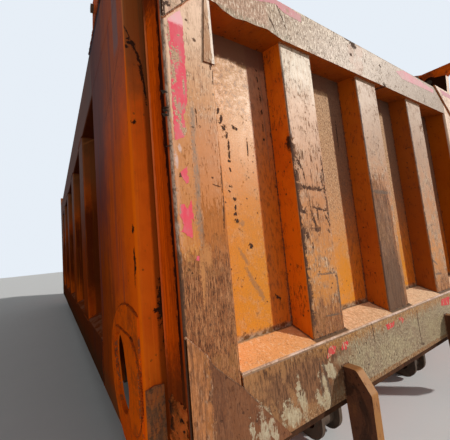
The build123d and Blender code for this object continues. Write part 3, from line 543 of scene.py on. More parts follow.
# The ribs' faces, each worn in its own way
ribWear = {
    "ruddy": (0.34, (0.46, 0.165, 0.05)), "bare": (0.95, (0.05, 0.022, 0.015), (0.16, 0.07, 0.038)),
    "old": (0.8, (0.12, 0.075, 0.05)), "torn": (0.95, (0.02, 0.008, 0.006)),
    "rubbed": (0.52, (0.07, 0.035, 0.02), (0.24, 0.14, 0.082)), "foot": (0.66, (0.085, 0.04, 0.022)),
    "upper": (0.5, (0.33, 0.175, 0.095)), "arris": (0.85, (0.085, 0.036, 0.022)),
    "shadedSides": (0.2, (0.2, 0.045, 0.006)), "whiteAndSheen": (1, (0.8, 0.72, 0.58)),
    "cracks": (
        (551, 832, 88, 8.5, 4), (467, 905, 70, 4.5, 90), (467, 760, 75, 4.5, 90), (560, 690, 42, 7, 75),
        (520, 745, 45, 6, 10), (552, 658, 22, 9, 12), (590, 880, 20, 3, 80), (616, 735, 14, 9, 0),
        (588, 592, 10, 3, 90), (476, 648, 6, 7, 0), (612, 935, 24, 8, 60), (535, 720, 30, 4, 95),
        (612, 640, 18, 8, 80), (480, 865, 30, 4, 85), (478, 700, 30, 4, 60),
    ),
    "oldSpots": (
        (517, 474, 52, 4, 2), (464, 390, 85, 6, 92), (515, 308, 50, 4, 4), (20, 834, 85, 10, 2),
        (-510, 345, 50, 6, 4), (-480, 420, 40, 6, 30),
    ),
}


def ribMarks(g):
    face = g.rear()
    firstRib = g.step(g.y, 0.2, 0.3)
    shake = g.field(30, 6, 0.72, 53) - 0.5
    tall = g.upright(120, 14, 5, 0.72, 54)
    # Paint peeled off the first rib's left edge, in flakes
    strip = g.step(g.y + shake * 0.13, 0.624, 0.632) * g.between(g.z + shake * 0.4, 0.3, 1.05, 0.04)
    inner = g.between(g.y + shake * 0.05, 0.5, 0.632, 0.02) * g.between(g.z + shake * 0.3, 0.66, 1.0, 0.03)
    flakes = inner * g.step(tall + shake * 0.5, 0.575, 0.62)
    peel = (strip * g.step(shake + 0.5 + (tall - 0.5) * 0.8, 0.4, 0.46)).most(flakes)
    g.coat("ruddy", face * firstRib * g.between(g.z + shake * 0.3, 0.62, 1.25, 0.08))
    bare = peel.most(g.marks("cracks", rag=1.3, wobble=0.02)) * face
    g.coat("bare", bare, g.step(tall + shake * 0.5, 0.44, 0.62))
    g.coat("old", g.marks("oldSpots", wobble=0.014) * face)
    # A dark flap where the first rib's left edge is torn
    torn = g.between(g.z + shake * 0.08, 0.985, 1.055, 0.01) * g.step(g.ny, 0.5, 0.8)
    g.coat("torn", torn * g.step(g.y, 0.6, 0.62) * g.below(g.x + shake * 0.05, 0.034, 0.044))
    # The second rib's lower half is rubbed grey
    rubbed = g.between(g.y + shake * 0.09, -0.045, 0.11, 0.02) * g.below(g.z + shake * 0.5, 0.72, 0.95)
    g.coat("rubbed", rubbed * face, g.step(tall, 0.46, 0.56))
    foot = g.between(g.y + shake * 0.09, -0.085, 0.11, 0.02) * g.below(g.z + shake * 0.4, 0.4, 0.62)
    g.coat("foot", foot * face)
    g.coat("upper", face * (1 - firstRib) * g.step(g.z + shake * 0.3, 0.95, 1.1))
    arris = g.step(g.pastRib() + shake * 0.035 + (tall - 0.5) * 0.03, 0.181, 0.187)
    g.coat("arris", arris * g.between(g.z, 0.3, 1.4, 0.1) * face)
    # Painted shade on the sides of the ribs further right
    g.coat("shadedSides", g.flank() * (1 - firstRib))
    # The first rib's top is whiter: pale paint and a painted sheen of the sun's glare
    whiteAndSheen = g.between(g.z + shake * 0.2, 1.26, 1.6, 0.06) * g.step(g.y, 0.3, 0.4) * face
    g.coat("whiteAndSheen", whiteAndSheen * 0.35 * g.step(tall, 0.42, 0.56))
    g.rough += bare * 0.5
    g.height -= bare * 0.9


# The top rail: pinker at its left end, patched over its second rib, cracked beside the right plate
railWear = {
    "pink": (0.75, (0.41, 0.215, 0.13)), "low": (1, (0.3, 0.18, 0.11)), "dent": (0.7, (0.25, 0.2, 0.125)),
    "far": (0.58, (0.23, 0.135, 0.072)), "bright": (0.6, (0.88, 0.72, 0.54)),
    "dark": (0.75, (0.19, 0.105, 0.054)), "patch": (0.7, (0.36, 0.19, 0.105)), "hole": (0.9, tones["pit"]),
    "patchSpots": ((135, 1575, 75, 22, 100), (90, 1490, 60, 40, 120), (60, 1600, 35, 40, 40)),
    "holes": (
        (112, 1622, 26, 20, 20), (143, 1553, 10, 8, 0), (-144, 1576, 9, 6, 30), (170, 1636, 30, 8, 10),
        (-160, 1462, 14, 12, 0), (-684, 1495, 28, 3, 85), (640, 1575, 60, 2.5, 65), (609, 1630, 22, 3, 88),
        (695, 1510, 30, 3, 60), (-720, 1600, 22, 3, 85),
    ),
}


def railMarks(g):
    face = g.rear()
    shake = g.field(34, 6, 0.7, 57) - 0.5
    g.coat("pink", face * g.step(g.y + shake * 0.05, 0.7, 0.73))
    g.coat("low", face * g.below(g.z + shake * 0.04, 1.458, 1.466) * 0.4)
    dent = face * g.between(g.y, 0.6, 1.0, 0.01) * g.below(g.z + shake * 0.06, 1.478, 1.494)
    g.coat("dent", dent * g.step(shake + 0.5, 0.4, 0.5))
    g.coat("far", face * g.below(g.y + shake * 0.1, -0.35, 0.1))
    # Upright strokes of bright and dark on its left half
    strokes = g.upright(130, 40, 4, 0.75, 58)
    where = face * (0.35 + g.step(g.y + shake * 0.3, -0.15, 0.15) * 0.65)
    upper = g.step(g.z + shake * 0.15, 1.53, 1.62)
    g.coat("bright", where * g.step(strokes + upper * 0.02, 0.545, 0.58))
    g.coat("dark", where * g.step(upper * 0.02 - strokes, -0.465, -0.43))
    g.coat("patch", g.marks("patchSpots", wobble=0.05, grain=30) * face)
    holes = g.marks("holes", rag=1.1, wobble=0.016)
    g.coat("hole", holes)
    g.rough += holes * 0.5
    g.height -= holes * 1.5


# The recessed sheet: rust holes and stains between the ribs, dirt in its corners, painted shadow beside the
# ribs and under the top rail
panelWear = {
    "shadeLow": ((0.62, 0.135, 0.01), (0.3, 0.062, 0.01)),
    "shadeHigh": ((0.36, 0.15, 0.08), (0.19, 0.075, 0.042)), "ribShadow": (0.9,),
    "top": (0.9, (0.13, 0.05, 0.03)), "blotch": (0.75, (0.24, 0.12, 0.06)),
    "chalky": (0.45, (0.88, 0.66, 0.48)), "dust": (0.55, (0.34, 0.125, 0.035)),
    "glint": (0.5, (0.86, 0.6, 0.42)), "others": (0.75, (0.42, 0.245, 0.13)),
    "othersShadow": (0.8, (0.17, 0.085, 0.05)), "coarse": (0.75, (0.1, 0.045, 0.028)),
    "coarseGlint": (0.6, (0.62, 0.42, 0.26)), "stain": (0.5, (0.17, 0.11, 0.07)),
    "corners": (0.8, tones["pit"], tones["grey"]), "hole": (1, tones["pit"]),
    "holes": (
        (876, 800, 8, 7, 0), (875, 766, 4, 12, 10), (878, 742, 7, 7, 0), (874, 715, 9, 8, 20),
        (819, 615, 9, 10, 0), (787, 1012, 40, 3, 92), (90, 655, 70, 10, 88), (163, 1170, 80, 4, 92),
        (895, 830, 4, 5, 0), (850, 1095, 10, 6, 75), (835, 1090, 7, 6, 80), (708, 400, 16, 6, 40),
        (917, 1150, 14, 6, 112), (905, 1117, 20, 6, 112), (895, 1085, 12, 8, 100), (885, 1055, 14, 5, 100),
        (880, 1015, 20, 4.5, 92), (884, 950, 6, 5, 0), (881, 975, 16, 4, 90), (883, 915, 8, 4, 90),
        (892, 850, 5, 3, 0), (693, 1385, 6, 4, 60), (692, 1340, 12, 3, 88), (690, 1300, 5, 5, 0),
        (687, 1255, 22, 3, 92), (687, 1190, 10, 5, 90), (690, 1120, 20, 3, 92), (692, 1065, 6, 6, 0),
        (648, 1090, 12, 4, 80), (650, 860, 6, 5, 0),
    ),
    "stains": (
        (852, 704, 12, 12, 0), (858, 576, 40, 8, 60), (832, 490, 50, 9, 65), (677, 1270, 200, 3, 90),
        (675, 1050, 120, 3, 90), (800, 440, 50, 10, 60),
    ),
}


def panelMarks(g):
    shake = g.field(40, 5, 0.7, 59) - 0.5
    # Weld grime in the bays' corners
    foot = g.below(g.z + shake * 0.05, 0.286, 0.306)
    corner = g.below(g.fromRib() + shake * 0.03, 0.098, 0.112) * g.step(0.7 - g.y, 0.0, 0.01)
    corner = corner * g.below(g.z + shake * 0.8, 0.32, 0.55)
    top = g.step(g.z + shake * 0.05, 1.372, 1.4)
    # Painted shadow beside each rib's left side, where the rib's shadow falls, and under the top rail, where
    # the rail's falls; streaked, redder low and browner high
    beside = g.below(g.pastRib(leftEdge=True) + shake * 0.02, 0.1, 0.11)
    runs = g.step(g.upright(70, 26, 6, 0.78, 62), 0.48, 0.62)
    low, high = (g.mix(runs, *g.wear[name]) for name in ("shadeLow", "shadeHigh"))
    g.coat("ribShadow", beside, tone=g.mix(g.step(g.z + shake * 0.3, 0.75, 1.4), low, high))
    g.coat("top", top)
    # Brown blotches high in the first bay, coarse wear in the other bays
    lit = (1 - beside) * (1 - top)
    up = g.step(g.z + shake * 0.2, 1.08, 1.2)
    g.coat("blotch", g.step(shake + 0.5, 0.54, 0.58) * up * g.step(g.y, 0.5, 0.7) * lit)
    g.coat("chalky", g.step(0 - shake, 0.02, 0.06) * up * g.step(g.y, 0.5, 0.7) * lit)
    dust = g.upright(260, 170, 4, 0.75, 66)
    first = g.step(g.y, 0.5, 0.6) * lit
    g.coat("dust", first * g.step(dust, 0.53, 0.6))
    g.coat("glint", first * g.step(g.z, 0.9, 1.2) * g.below(dust, 0.4, 0.47))
    others = g.below(g.y, 0.4, 0.5) * g.step(g.z + shake * 0.4, 0.42, 0.95)
    coarse = g.upright(190, 90, 5, 0.75, 60)
    g.coat("others", others * lit)
    # Painted shade in the other bays' shadow strips
    g.coat("othersShadow", others * beside)
    g.coat("coarse", others * g.step(coarse, 0.52, 0.57))
    g.coat("coarseGlint", others * g.below(coarse, 0.41, 0.46) * lit)
    g.coat("stain", g.marks("stains", soft=0.4, wobble=0.02))
    g.coat("corners", foot.most(corner), g.step(shake + 0.5, 0.42, 0.6))
    holes = g.marks("holes", rag=1.0, wobble=0.012)
    g.coat("hole", holes)
    g.rough += holes.most(others).most(foot) * 0.4
    g.height -= holes


# The bottom rail: pale scuffs, drips, and the bright nose of the ledge above it
sillWear = {
    "left": (0.55, (0.19, 0.078, 0.032), (0.42, 0.18, 0.066)),
    "middle": (0.92, (0.085, 0.034, 0.016), (0.21, 0.09, 0.04)),
    "scuffed": (0.9, (0.54, 0.45, 0.29), (0.36, 0.26, 0.15)), "brown": (0.7, (0.33, 0.155, 0.06)),
    "drip": (0.75, (0.5, 0.215, 0.05), (0.27, 0.115, 0.042)), "flaked": (0.42, (0.15, 0.095, 0.048)),
    "flakeGlint": (0.6, (0.56, 0.46, 0.29)), "bend": (0.8, (0.26, 0.155, 0.095)),
    "nose": (0.8, (0.4, 0.215, 0.135), (0.62, 0.42, 0.33)), "noseGap": (0.8, (0.4, 0.17, 0.055)),
    "ledge": (0.8, (0.82, 0.48, 0.24)), "ledgeNear": (0.75, (0.84, 0.36, 0.11)),
    "ledgeFar": (0.75, (0.9, 0.66, 0.42)), "ledgeRest": (0.3, (0.9, 0.6, 0.36)),
    "speck": (0.65, (0.48, 0.14, 0.03)), "mottled": (0.34, (0.36, 0.165, 0.07)),
    "paler": (0.5, (0.92, 0.66, 0.42)), "inside": (0.85, (0.045, 0.02, 0.011), (0.22, 0.17, 0.1)),
    "seam": (0.8, (0.1, 0.055, 0.035)),
    "scuffs": (
        (915, 45, 50, 18, 85), (935, 70, 55, 26, 80), (815, 50, 50, 34, 35), (760, 70, 60, 18, 80),
        (640, 60, 65, 22, 84), (600, 125, 45, 22, 45), (680, 50, 30, 12, 80), (870, 30, 30, 12, 10),
    ),
    "brownSpots": (
        (885, 55, 55, 12, 85), (835, 190, 35, 10, 92), (800, 95, 40, 12, 70), (720, 30, 30, 20, 0),
    ),
    "seams": (
        (292, 190, 50, 3, 86), (-120, 120, 90, 4, 88), (-130, 35, 20, 7, 20), (657, 110, 60, 4, 90),
        (627, 100, 70, 6, 80),
    ),
}


def sillMarks(g):
    face = g.rear(0.8, 0.97)
    shake = g.field(16, 6, 0.72, 61) - 0.5
    tall = g.upright(110, 26, 5, 0.75, 63)
    g.coat("left", face * g.step(g.y + shake * 0.6, 0.42, 0.62), g.step(tall, 0.42, 0.58))
    middle = g.between(g.z + (tall - 0.5) * 0.25, 0.035, 0.215, 0.03)
    middle = middle * g.between(g.y + shake * 0.4, 0.52, 0.93, 0.06)
    g.coat("middle", face * middle, g.step(tall, 0.43, 0.57))
    scuffs = g.marks("scuffs", rag=0.9, soft=0.25, wobble=0.05, grain=34)
    g.coat("scuffed", face * (scuffs * g.step(tall + shake * 0.6, 0.38, 0.46)), g.step(tall, 0.42, 0.6))
    g.coat("brown", face * g.marks("brownSpots", rag=1.0, soft=0.4, wobble=0.03))
    drip = g.step(g.z + (tall - 0.5) * 0.3 + shake * 0.06, 0.18, 0.198) * g.below(g.z, 0.222, 0.232)
    drip = drip * (1 - g.step(g.y + shake * 0.1, 0.62, 0.7) * 0.75)
    g.coat("drip", face * drip, g.step(tall, 0.45, 0.6))
    # Flaked coating, coarse to the touch
    coarse = g.upright(150, 90, 6, 0.8, 67)
    flaked = face * (1 - middle) * g.step(0.9 - g.y + shake * 0.2, 0.0, 0.2)
    g.coat("flaked", flaked * g.step(coarse, 0.53, 0.6))
    g.coat("flakeGlint", flaked * g.below(coarse, 0.4, 0.47))
    g.height -= flaked * g.step(coarse, 0.5, 0.6) * 0.6
    # The rounded nose and the ledge, orange at its left end and paler to the right
    bend = g.between(g.nz, 0.1, 0.86, 0.06) * g.step(g.z, 0.2, 0.215)
    g.coat("bend", bend * g.below(g.nz + shake * 0.6, 0.3, 0.42))
    nose = bend * g.step(g.nz + shake * 0.8, 0.36, 0.5)
    g.coat("nose", nose, g.step(shake + 0.5, 0.42, 0.56))
    g.coat("noseGap", nose * g.between(g.y + shake * 0.02, 0.8, 0.845, 0.01))
    ledge = g.step(g.nz, 0.8, 0.92) * g.step(g.z, 0.22, 0.235)
    near = g.step(g.y + shake * 0.1, 0.45, 0.75)
    g.coat("ledge", ledge)
    g.coat("ledgeNear", ledge * near)
    g.coat("ledgeFar", ledge * g.below(g.y, -0.3, 0.3))
    g.coat("ledgeRest", ledge * (1 - near))
    g.coat("speck", ledge * g.step(g.field(190, 4, 0.75, 64), 0.545, 0.59))
    mottles = g.field(75, 5, 0.75, 65)
    g.coat("mottled", ledge * g.step(mottles, 0.49, 0.56) * (1 - near))
    g.coat("paler", ledge * g.below(mottles, 0.4, 0.46))
    inside = g.below(g.fromRib() + shake * 0.02, 0.098, 0.108).most(g.step(g.x + shake * 0.02, 0.115, 0.124))
    g.coat("inside", ledge * inside, g.step(g.y, 0.77, 0.8))
    seams = g.marks("seams", wobble=0.012)
    g.coat("seam", face * seams)
    g.rough += seams * 0.4
    g.height -= seams


# The side walls: scratches and tears by the rear bend, painted shade further forward, painted reflections
# and highlights, bare steel inside
sideWear = {
    "far": (0.78, (0.115, 0.022, 0.006)), "high": (0.6, (0.19, 0.06, 0.034)),
    "skyStreaks": (0.5, (0.085, 0.042, 0.048)), "brownRuns": (0.5, (0.1, 0.03, 0.012)),
    "paleReflection": (0.75, (0.21, 0.125, 0.125)), "black": (0.95, (0.01, 0.005, 0.004)),
    "recess": (0.7, (0.06, 0.012, 0.003)), "low": (0.7, (0.11, 0.055, 0.025)),
    "skySheen": (0.42, (0.075, 0.048, 0.07)), "ruddy": (0.3, (0.62, 0.11, 0.03)),
    "bays": (1, (0.05, 0.012, 0.005)), "ceiling": (0.92, (0.022, 0.008, 0.004)),
    "settled": (0.8, (0.055, 0.025, 0.014), (0.15, 0.095, 0.062)), "bayFoot": (0.6, (0.03, 0.014, 0.009)),
    "greySheen": (0.5, (0.15, 0.12, 0.11)), "warm": (0.35, (0.96, 0.225, 0.022)),
    "bright": (0.5, (0.98, 0.23, 0.014)), "glow": (0.85, (1.0, 0.145, 0.006)),
    "bend": (0.85, (1.0, 0.165, 0.004), (0.62, 0.19, 0.065)), "gap": (0.7, (0.14, 0.03, 0.006)),
    "shade": (1, (0.2, 0.074, 0.024)), "lines": (0.3, (0.3, 0.055, 0.008)), "dark": (1, tones["pit"]),
    "inward": (1,), "bare": ((0.2, 0.155, 0.12), (0.29, 0.25, 0.21)), "rustPatch": (0.26, 0.105, 0.045),
    "scratches": (
        (188, 600, 40, 10, 88), (190, 705, 12, 12, 0), (198, 545, 30, 4, 95), (350, 1330, 160, 2, -28),
        (500, 1290, 100, 2, -20), (119, 788, 10, 12, 0),
    ),
    "tears": (
        (1239, 1400, 32, 2.2, 68), (1226, 1360, 12, 8, 0), (1243, 1342, 10, 5, 30),
        (1214, 1340, 26, 3.5, 60), (1204, 1308, 34, 5.5, 72), (1196, 1262, 40, 5, 82),
        (1188, 1200, 60, 3.5, 86), (1232, 1067, 6, 8, 0), (1176, 470, 70, 10.5, 92), (1190, 438, 8, 14, 90),
        (1170, 385, 60, 7, 94), (1236, 1372, 6, 4, 0),
    ),
}


def sideMarks(g):
    shake = g.field(12, 5, 0.65, 69) - 0.5
    outer, rear, aside = g.flank(), g.rear(), g.aside()
    # Painted shade further forward on the outer faces, and the upper outer faces darkened as a painted dim
    # sky reflection
    g.coat("far", g.step(g.x + shake * 0.25, 0.2, 0.85) * outer)
    g.coat("high", g.step(g.z + shake * 0.4, 0.75, 1.45) * outer)
    # Upright mauve streaks of painted sky reflection and brown runs, a dull pale painted reflection beside
    # the bend, a black edge under the brackets
    runs = g.upright(11, 0.7, 4, 0.65, 72)
    early = g.step(g.x, 0.24, 0.4) * (0.3 + g.below(g.x, 1.0, 1.6) * 0.7)
    g.coat("skyStreaks", outer * g.step(runs, 0.5, 0.6) * early)
    g.coat("brownRuns", outer * g.below(runs, 0.38, 0.45) * g.step(g.x, 0.24, 0.4))
    paleReflection = outer * g.between(g.x + shake * 0.02, 0.252, 0.336, 0.01)
    g.coat("paleReflection", paleReflection * g.step(g.z + shake * 0.08, 1.385, 1.44))
    g.coat("black", outer * g.step(g.z + shake * 0.03, 1.846, 1.858) * g.below(g.x, 1.04, 1.06))
    # Painted shade in the recesses between the side ribs
    g.coat("recess", outer * g.below(aside, 1.16, 1.18) * g.step(g.x, 0.95, 0.96))
    g.coat("low", g.below(g.z + shake * 0.1, -0.03, 0.1) * outer * g.step(g.x, 0.25, 0.45))
    # Painted sky reflection on the middle of the wide plate
    skySheen = outer * g.between(g.x + shake * 0.2, 0.6, 1.03, 0.08)
    g.coat("skySheen", skySheen * g.step(g.z + shake * 0.3, 0.55, 0.95))
    ruddy = outer * g.between(g.x + shake * 0.1, 0.3, 0.62, 0.06)
    g.coat("ruddy", ruddy * g.between(g.z + shake * 0.2, 0.47, 1.25, 0.14))
    # Painted shade on what faces back between the ribs and under the top rail, darker at the foot of the
    # bays; dirt settled on the low ledges; a painted grey sky reflection on the ribs' outer faces
    bays = g.step(g.x, 0.96, 1.0)
    dusky = g.below(g.z + shake * 0.25, 0.95, 1.18) * g.step(g.z + shake * 0.2, 0.22, 0.5)
    dusky = dusky.most(g.step(g.z + shake * 0.1, 1.42, 1.5))
    g.coat("bays", rear * bays * (0.34 + dusky * 0.55))
    g.coat("ceiling", bays * g.under())
    settled = bays * g.step(g.nz, 0.4, 0.8) * g.below(g.z, 0.3, 0.35)
    g.coat("settled", settled, g.step(shake + 0.5, 0.46, 0.56))
    g.coat("bayFoot", outer * bays * g.below(g.z + shake * 0.1, 0.17, 0.26))
    g.coat("greySheen", outer * bays * g.step(aside, 1.24, 1.246) * g.step(g.z + shake * 0.3, 0.55, 1.1))
    scratch = g.marks("scratches", g.x)
    tear = g.marks("tears", rag=1.1, wobble=0.008)
    dark = (scratch * outer).most(tear * rear * g.below(g.x, 0.25, 0.3))
    lines = g.upright(220, 2.2, 3, 0.6, 70)
    g.coat("warm", rear * (1 - bays))
    # Painted highlight lines on the rear corner face
    g.coat("bright", rear * g.step(lines, 0.58, 0.66))
    # Painted reflected glow near the rear bend, and a painted highlight on the bend itself
    g.coat("glow", outer * g.below(g.x + shake * 0.08, 0.2, 0.34) * g.below(g.z + shake * 0.3, 0.9, 1.35))
    bend = g.between(0 - g.nx, 0.25, 0.88, 0.08) * g.below(g.x, 0.19, 0.2)
    g.coat("bend", bend, g.step(g.z + shake * 0.3, 1.25, 1.5))
    # Painted shade beside the gap to the gate
    g.coat("gap", rear * g.below(aside + shake * 0.01, 1.19, 1.2))
    g.coat("shade", rear * g.step(g.z + shake * 0.35, 1.0, 1.34) * 0.8)
    g.coat("lines", rear * g.step(lines, 0.5, 0.62) * g.step(g.z, 0.9, 1.2))
    g.coat("dark", dark)
    # Inner faces: the side that looks at the middle of the body
    inward = g.step(0 - g.ny * g.y, 0.3, 0.7) * g.below(aside, 1.146, 1.152)
    drag = g.field(1, 5, 0.6, 71, (0.6, 80, 80))
    bare = g.mix(g.step(drag, 0.36, 0.66), *g.wear["bare"])
    bare = g.mix(g.step(g.field(2.2, 6, 0.68, 82), 0.5, 0.58) * 0.75, bare, g.wear["rustPatch"])
    g.coat("inward", inward, tone=bare)
    g.rough += inward * 0.12
    g.height = g.height - dark + inward * drag * 0.3


# The doublers, the port rings and the low patch are the rustiest plates
portWear = {
    "worn": (1, (0.055, 0.028, 0.018), (0.26, 0.115, 0.055)), "flat": (1, (0.4, 0.055, 0.004)),
    "patch": (0.85,), "patchTones": ((0.42, 0.155, 0.052), (0.25, 0.12, 0.062)),
    "patchPits": (0.085, 0.038, 0.021),
}


def portMarks(g):
    scale = g.field(18, 7, 0.72, 73)
    fine = g.field(110, 4, 0.7, 74)
    worn = g.step(scale + (fine - 0.5) * 0.4, 0.5, 0.58)
    worn = worn * (0.3 + g.rear() * (0.55 + g.step(0.16 - g.x, -0.02, 0.0) * 0.35))
    g.coat("worn", worn, g.step(fine, 0.42, 0.6))
    g.coat("flat", g.flank() * (0.2 + g.step(scale, 0.46, 0.6) * 0.3))
    patch = g.below(g.x, 0.2, 0.205) * g.below(g.aside(), 1.247, 1.25)
    drawn = g.upright(120, 26, 5, 0.72, 86)
    tone = g.mix(g.step(drawn + (scale - 0.5) * 0.5, 0.44, 0.56), *g.wear["patchTones"])
    tone = g.mix(g.step(fine + (drawn - 0.5) * 0.6, 0.52, 0.6) * 0.5, tone, g.wear["patchPits"])
    g.coat("patch", patch * g.step(scale + (fine - 0.5) * 0.5, 0.3, 0.4), tone=tone)
    g.rough += worn * 0.2
    g.height += worn * scale * 0.5


# The corner plates: dark cut edges, the upper left one mottled and torn at its lower edge
plateWear = {
    "cut": (0.95, (0.02, 0.008, 0.005)), "warm": (0.8, (0.22, 0.08, 0.03), (0.46, 0.17, 0.058)),
    "brown": (0.35, (0.15, 0.052, 0.024)), "scuffed": (0.9, (0.5, 0.42, 0.28), (0.36, 0.26, 0.16)),
    "taupe": (0.6, (0.26, 0.17, 0.11)), "pink": (0.5, (0.5, 0.3, 0.24)), "torn": (0.95, tones["pit"]),
    "scuffs": ((945, 55, 50, 20, 82), (905, 40, 35, 14, 75), (985, 75, 30, 6, 90)),
    "tears": (
        (1102, 1412, 20, 5, 60), (1160, 1385, 12, 10, 0), (1156, 1415, 14, 6, 80), (1171, 1372, 40, 4, 88),
        (1140, 1440, 12, 4, 20),
    ),
}


def plateMarks(g):
    shake = g.field(40, 6, 0.72, 75) - 0.5
    cut = g.flank(0.5, 0.8)
    g.coat("cut", cut)
    low = g.below(g.z, 0.5, 0.6)
    tall = g.upright(140, 22, 4, 0.7, 76)
    away = g.aside() + (g.field(8, 4, 0.7, 85) - 0.5) * 0.22 + (tall - 0.5) * 0.14
    outer = g.step(away, 1.118, 1.13)
    g.coat("warm", low * outer * (1 - cut), g.step(tall, 0.42, 0.58))
    g.coat("brown", low * (1 - outer))
    scuffs = g.marks("scuffs", rag=0.9, soft=0.25, wobble=0.05, grain=34)
    scuffs = scuffs * g.step(tall + shake * 0.5, 0.4, 0.5) * low * (1 - cut)
    g.coat("scuffed", scuffs, g.step(tall, 0.46, 0.6))
    left = g.step(g.y, 0.7, 0.8) * g.step(g.z, 1.2, 1.3) * g.rear()
    g.coat("taupe", left * g.step(shake + 0.5, 0.5, 0.58))
    g.coat("pink", left * g.step(0 - shake, 0.03, 0.09))
    tears = g.marks("tears", rag=1.2, wobble=0.02)
    g.coat("torn", tears * left)
    g.rough += tears * 0.4
    g.height -= tears


# Painted highlight along the seam strip's inner edge
stripWear = {"edgeHighlight": (0.9, (0.9, 0.74, 0.6))}


def stripMarks(g):
    shake = g.field(50, 5, 0.7, 79) - 0.5
    g.coat("edgeHighlight", g.below(g.y + shake * 0.008, 1.005, 1.01) * g.rear(0.3, 0.7))


# The welds round the hand holes are nearly as bright as the plates
bodyWeldWear = {"port": (0.75, (0.5, 0.085, 0.01))}


def bodyWeldMarks(g):
    shake = g.field(30, 4, 0.7, 83) - 0.5
    g.coat("port", g.below(g.x, 0.66, 0.7) * g.below(g.z, 0.5, 0.55) * g.step(shake + 0.5, 0.36, 0.5))


# Welds deep in the bays and along the lower plates' slant are dark
weldWear = {
    "deep": (0.9, (0.26, 0.045, 0.006), (0.04, 0.014, 0.008)),
    "slant": (0.85, (0.19, 0.085, 0.038), (0.05, 0.022, 0.012)),
}


def weldMarks(g):
    shake = g.field(40, 4, 0.7, 81) - 0.5
    deep = g.step(g.x, 0.04, 0.07)
    g.coat("deep", deep, g.step(shake + 0.5, 0.42, 0.56))
    slant = g.below(g.aside(), 1.105, 1.12) * g.below(g.z, 0.3, 0.33) * (1 - deep)
    g.coat("slant", slant, g.step(shake + 0.5, 0.44, 0.56))


# Rust has run down the lugs' flanks in bands
lugWear = {
    "bands": (0.75, (0.215, 0.075, 0.026)), "gaps": (0.8, (0.04, 0.018, 0.011)),
    "specks": (0.5, (0.035, 0.015, 0.01)),
}


def lugMarks(g):
    flank = g.flank()
    bands = g.field(5.5, 5, 0.62, 87, (1, 1, 0.6), 1.2)
    fine = g.field(90, 5, 0.75, 88)
    g.coat("bands", flank * g.step(bands + (fine - 0.5) * 0.2, 0.5, 0.6))
    g.coat("gaps", flank * g.below(bands, 0.38, 0.45))
    g.coat("specks", flank * g.step(fine, 0.55, 0.63))
    g.height += fine * 0.3


# The bed is scraped bright lengthwise by its loads
bedWear = {"scraped": (0.7, (0.46, 0.42, 0.37)), "rust": (0.75, (0.27, 0.125, 0.055))}


def bedMarks(g):
    drag = g.field(1, 5, 0.65, 77, (0.8, 70, 70))
    patches = g.field(1.6, 5, 0.65, 78)
    g.coat("scraped", g.step(drag, 0.44, 0.6))
    g.coat("rust", g.step(patches, 0.52, 0.62))
    g.rough += patches * 0.2
    g.height += drag * 0.3


# Each finish: its material's name, look, marks and wear
finishes = {
    "side": ("sidePaint", sideLook, sideMarks, sideWear),
    "port": ("portPaint", {**sideLook, "seed": 2.0, "scabs": 0.64}, portMarks, portWear),
    "bracket": ("bracketPaint", {**sideLook, "seed": 2.6, "paintDeep": (0.3, 0.05, 0.012), "scabs": 0.62}),
    "post": ("postPaint", postLook, postMarks, postWear), "rib": ("ribPaint", ribLook, ribMarks, ribWear),
    "rail": ("railPaint", railLook, railMarks, railWear),
    "panel": ("panelPaint", panelLook, panelMarks, panelWear),
    "sill": ("sillPaint", sillLook, sillMarks, sillWear),
    "plate": ("platePaint", plateLook, plateMarks, plateWear),
    "strip": ("stripPaint", stripLook, stripMarks, stripWear), "steel": ("underframeSteel", steelLook),
    "lug": ("lugSteel", lugLook, lugMarks, lugWear), "weld": ("weldRuns", weldLook, weldMarks, weldWear),
    "bodyWeld": ("bodyWeldRuns", bodyWeldLook, bodyWeldMarks, bodyWeldWear),
    "bed": ("bedSteel", bedLook, bedMarks, bedWear), "under": ("underSteel", shadedUnderLook),
}
materials = {key: weathered(*finish) for key, finish in finishes.items()}
print("materials made,", len(materials))

nodeFinish = {
    "gate_post_left": "post", "gate_post_right": "post", "gate_post_caps": "post",
    "gate_seam_strip": "strip", "gate_top_rail": "rail", "gate_ribs": "rib", "gate_sheet": "panel",
    "gate_bottom_rail": "sill", "gate_corner_plates": "plate", "gate_hinge_ears": "plate",
    "lock_lugs": "lug", "gate_sill_bar": "under", "gate_hinge_pins": "steel", "sills": "steel",
    "cross_members": "steel", "tipping_hinges": "steel", "rope_hooks": "steel", "floor_plate": "bed",
    "rear_beam": "bracket", "port_doublers": "port", "port_rings": "port", "corner_patch": "port",
    "gate_hinge_brackets": "bracket", "hoist_bracket": "bracket",
}
for name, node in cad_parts.items():
    node.data.materials.clear()
    node.data.materials.append(materials[nodeFinish.get(name, "side")])


def newPiece(name, mesh, body, finish):
    piece = bpy.data.objects.new(name, mesh)
    bpy.context.scene.collection.objects.link(piece)
    mesh.materials.clear()
    mesh.materials.append(finish)
    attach(piece, body)
    return piece


# A piece of the gate from a bmesh, given its thickness where that is an open sheet
def gatePiece(name, mesh, finish, thickness=None):
    if thickness:
        bmesh.ops.solidify(mesh, geom=mesh.faces[:], thickness=thickness)
    bmesh.ops.recalc_face_normals(mesh, faces=mesh.faces[:])
    made = bpy.data.meshes.new(name)
    mesh.to_mesh(made)
    mesh.free()
    return newPiece(name, made, "tailgate", finish)


# Weld runs: beads laid along lines
weldBeads = {"Pitch": 1.6, "Spread": 0.3, "Seed": 5, "gateRadius": 0.0042, "bodyRadius": 0.0056}


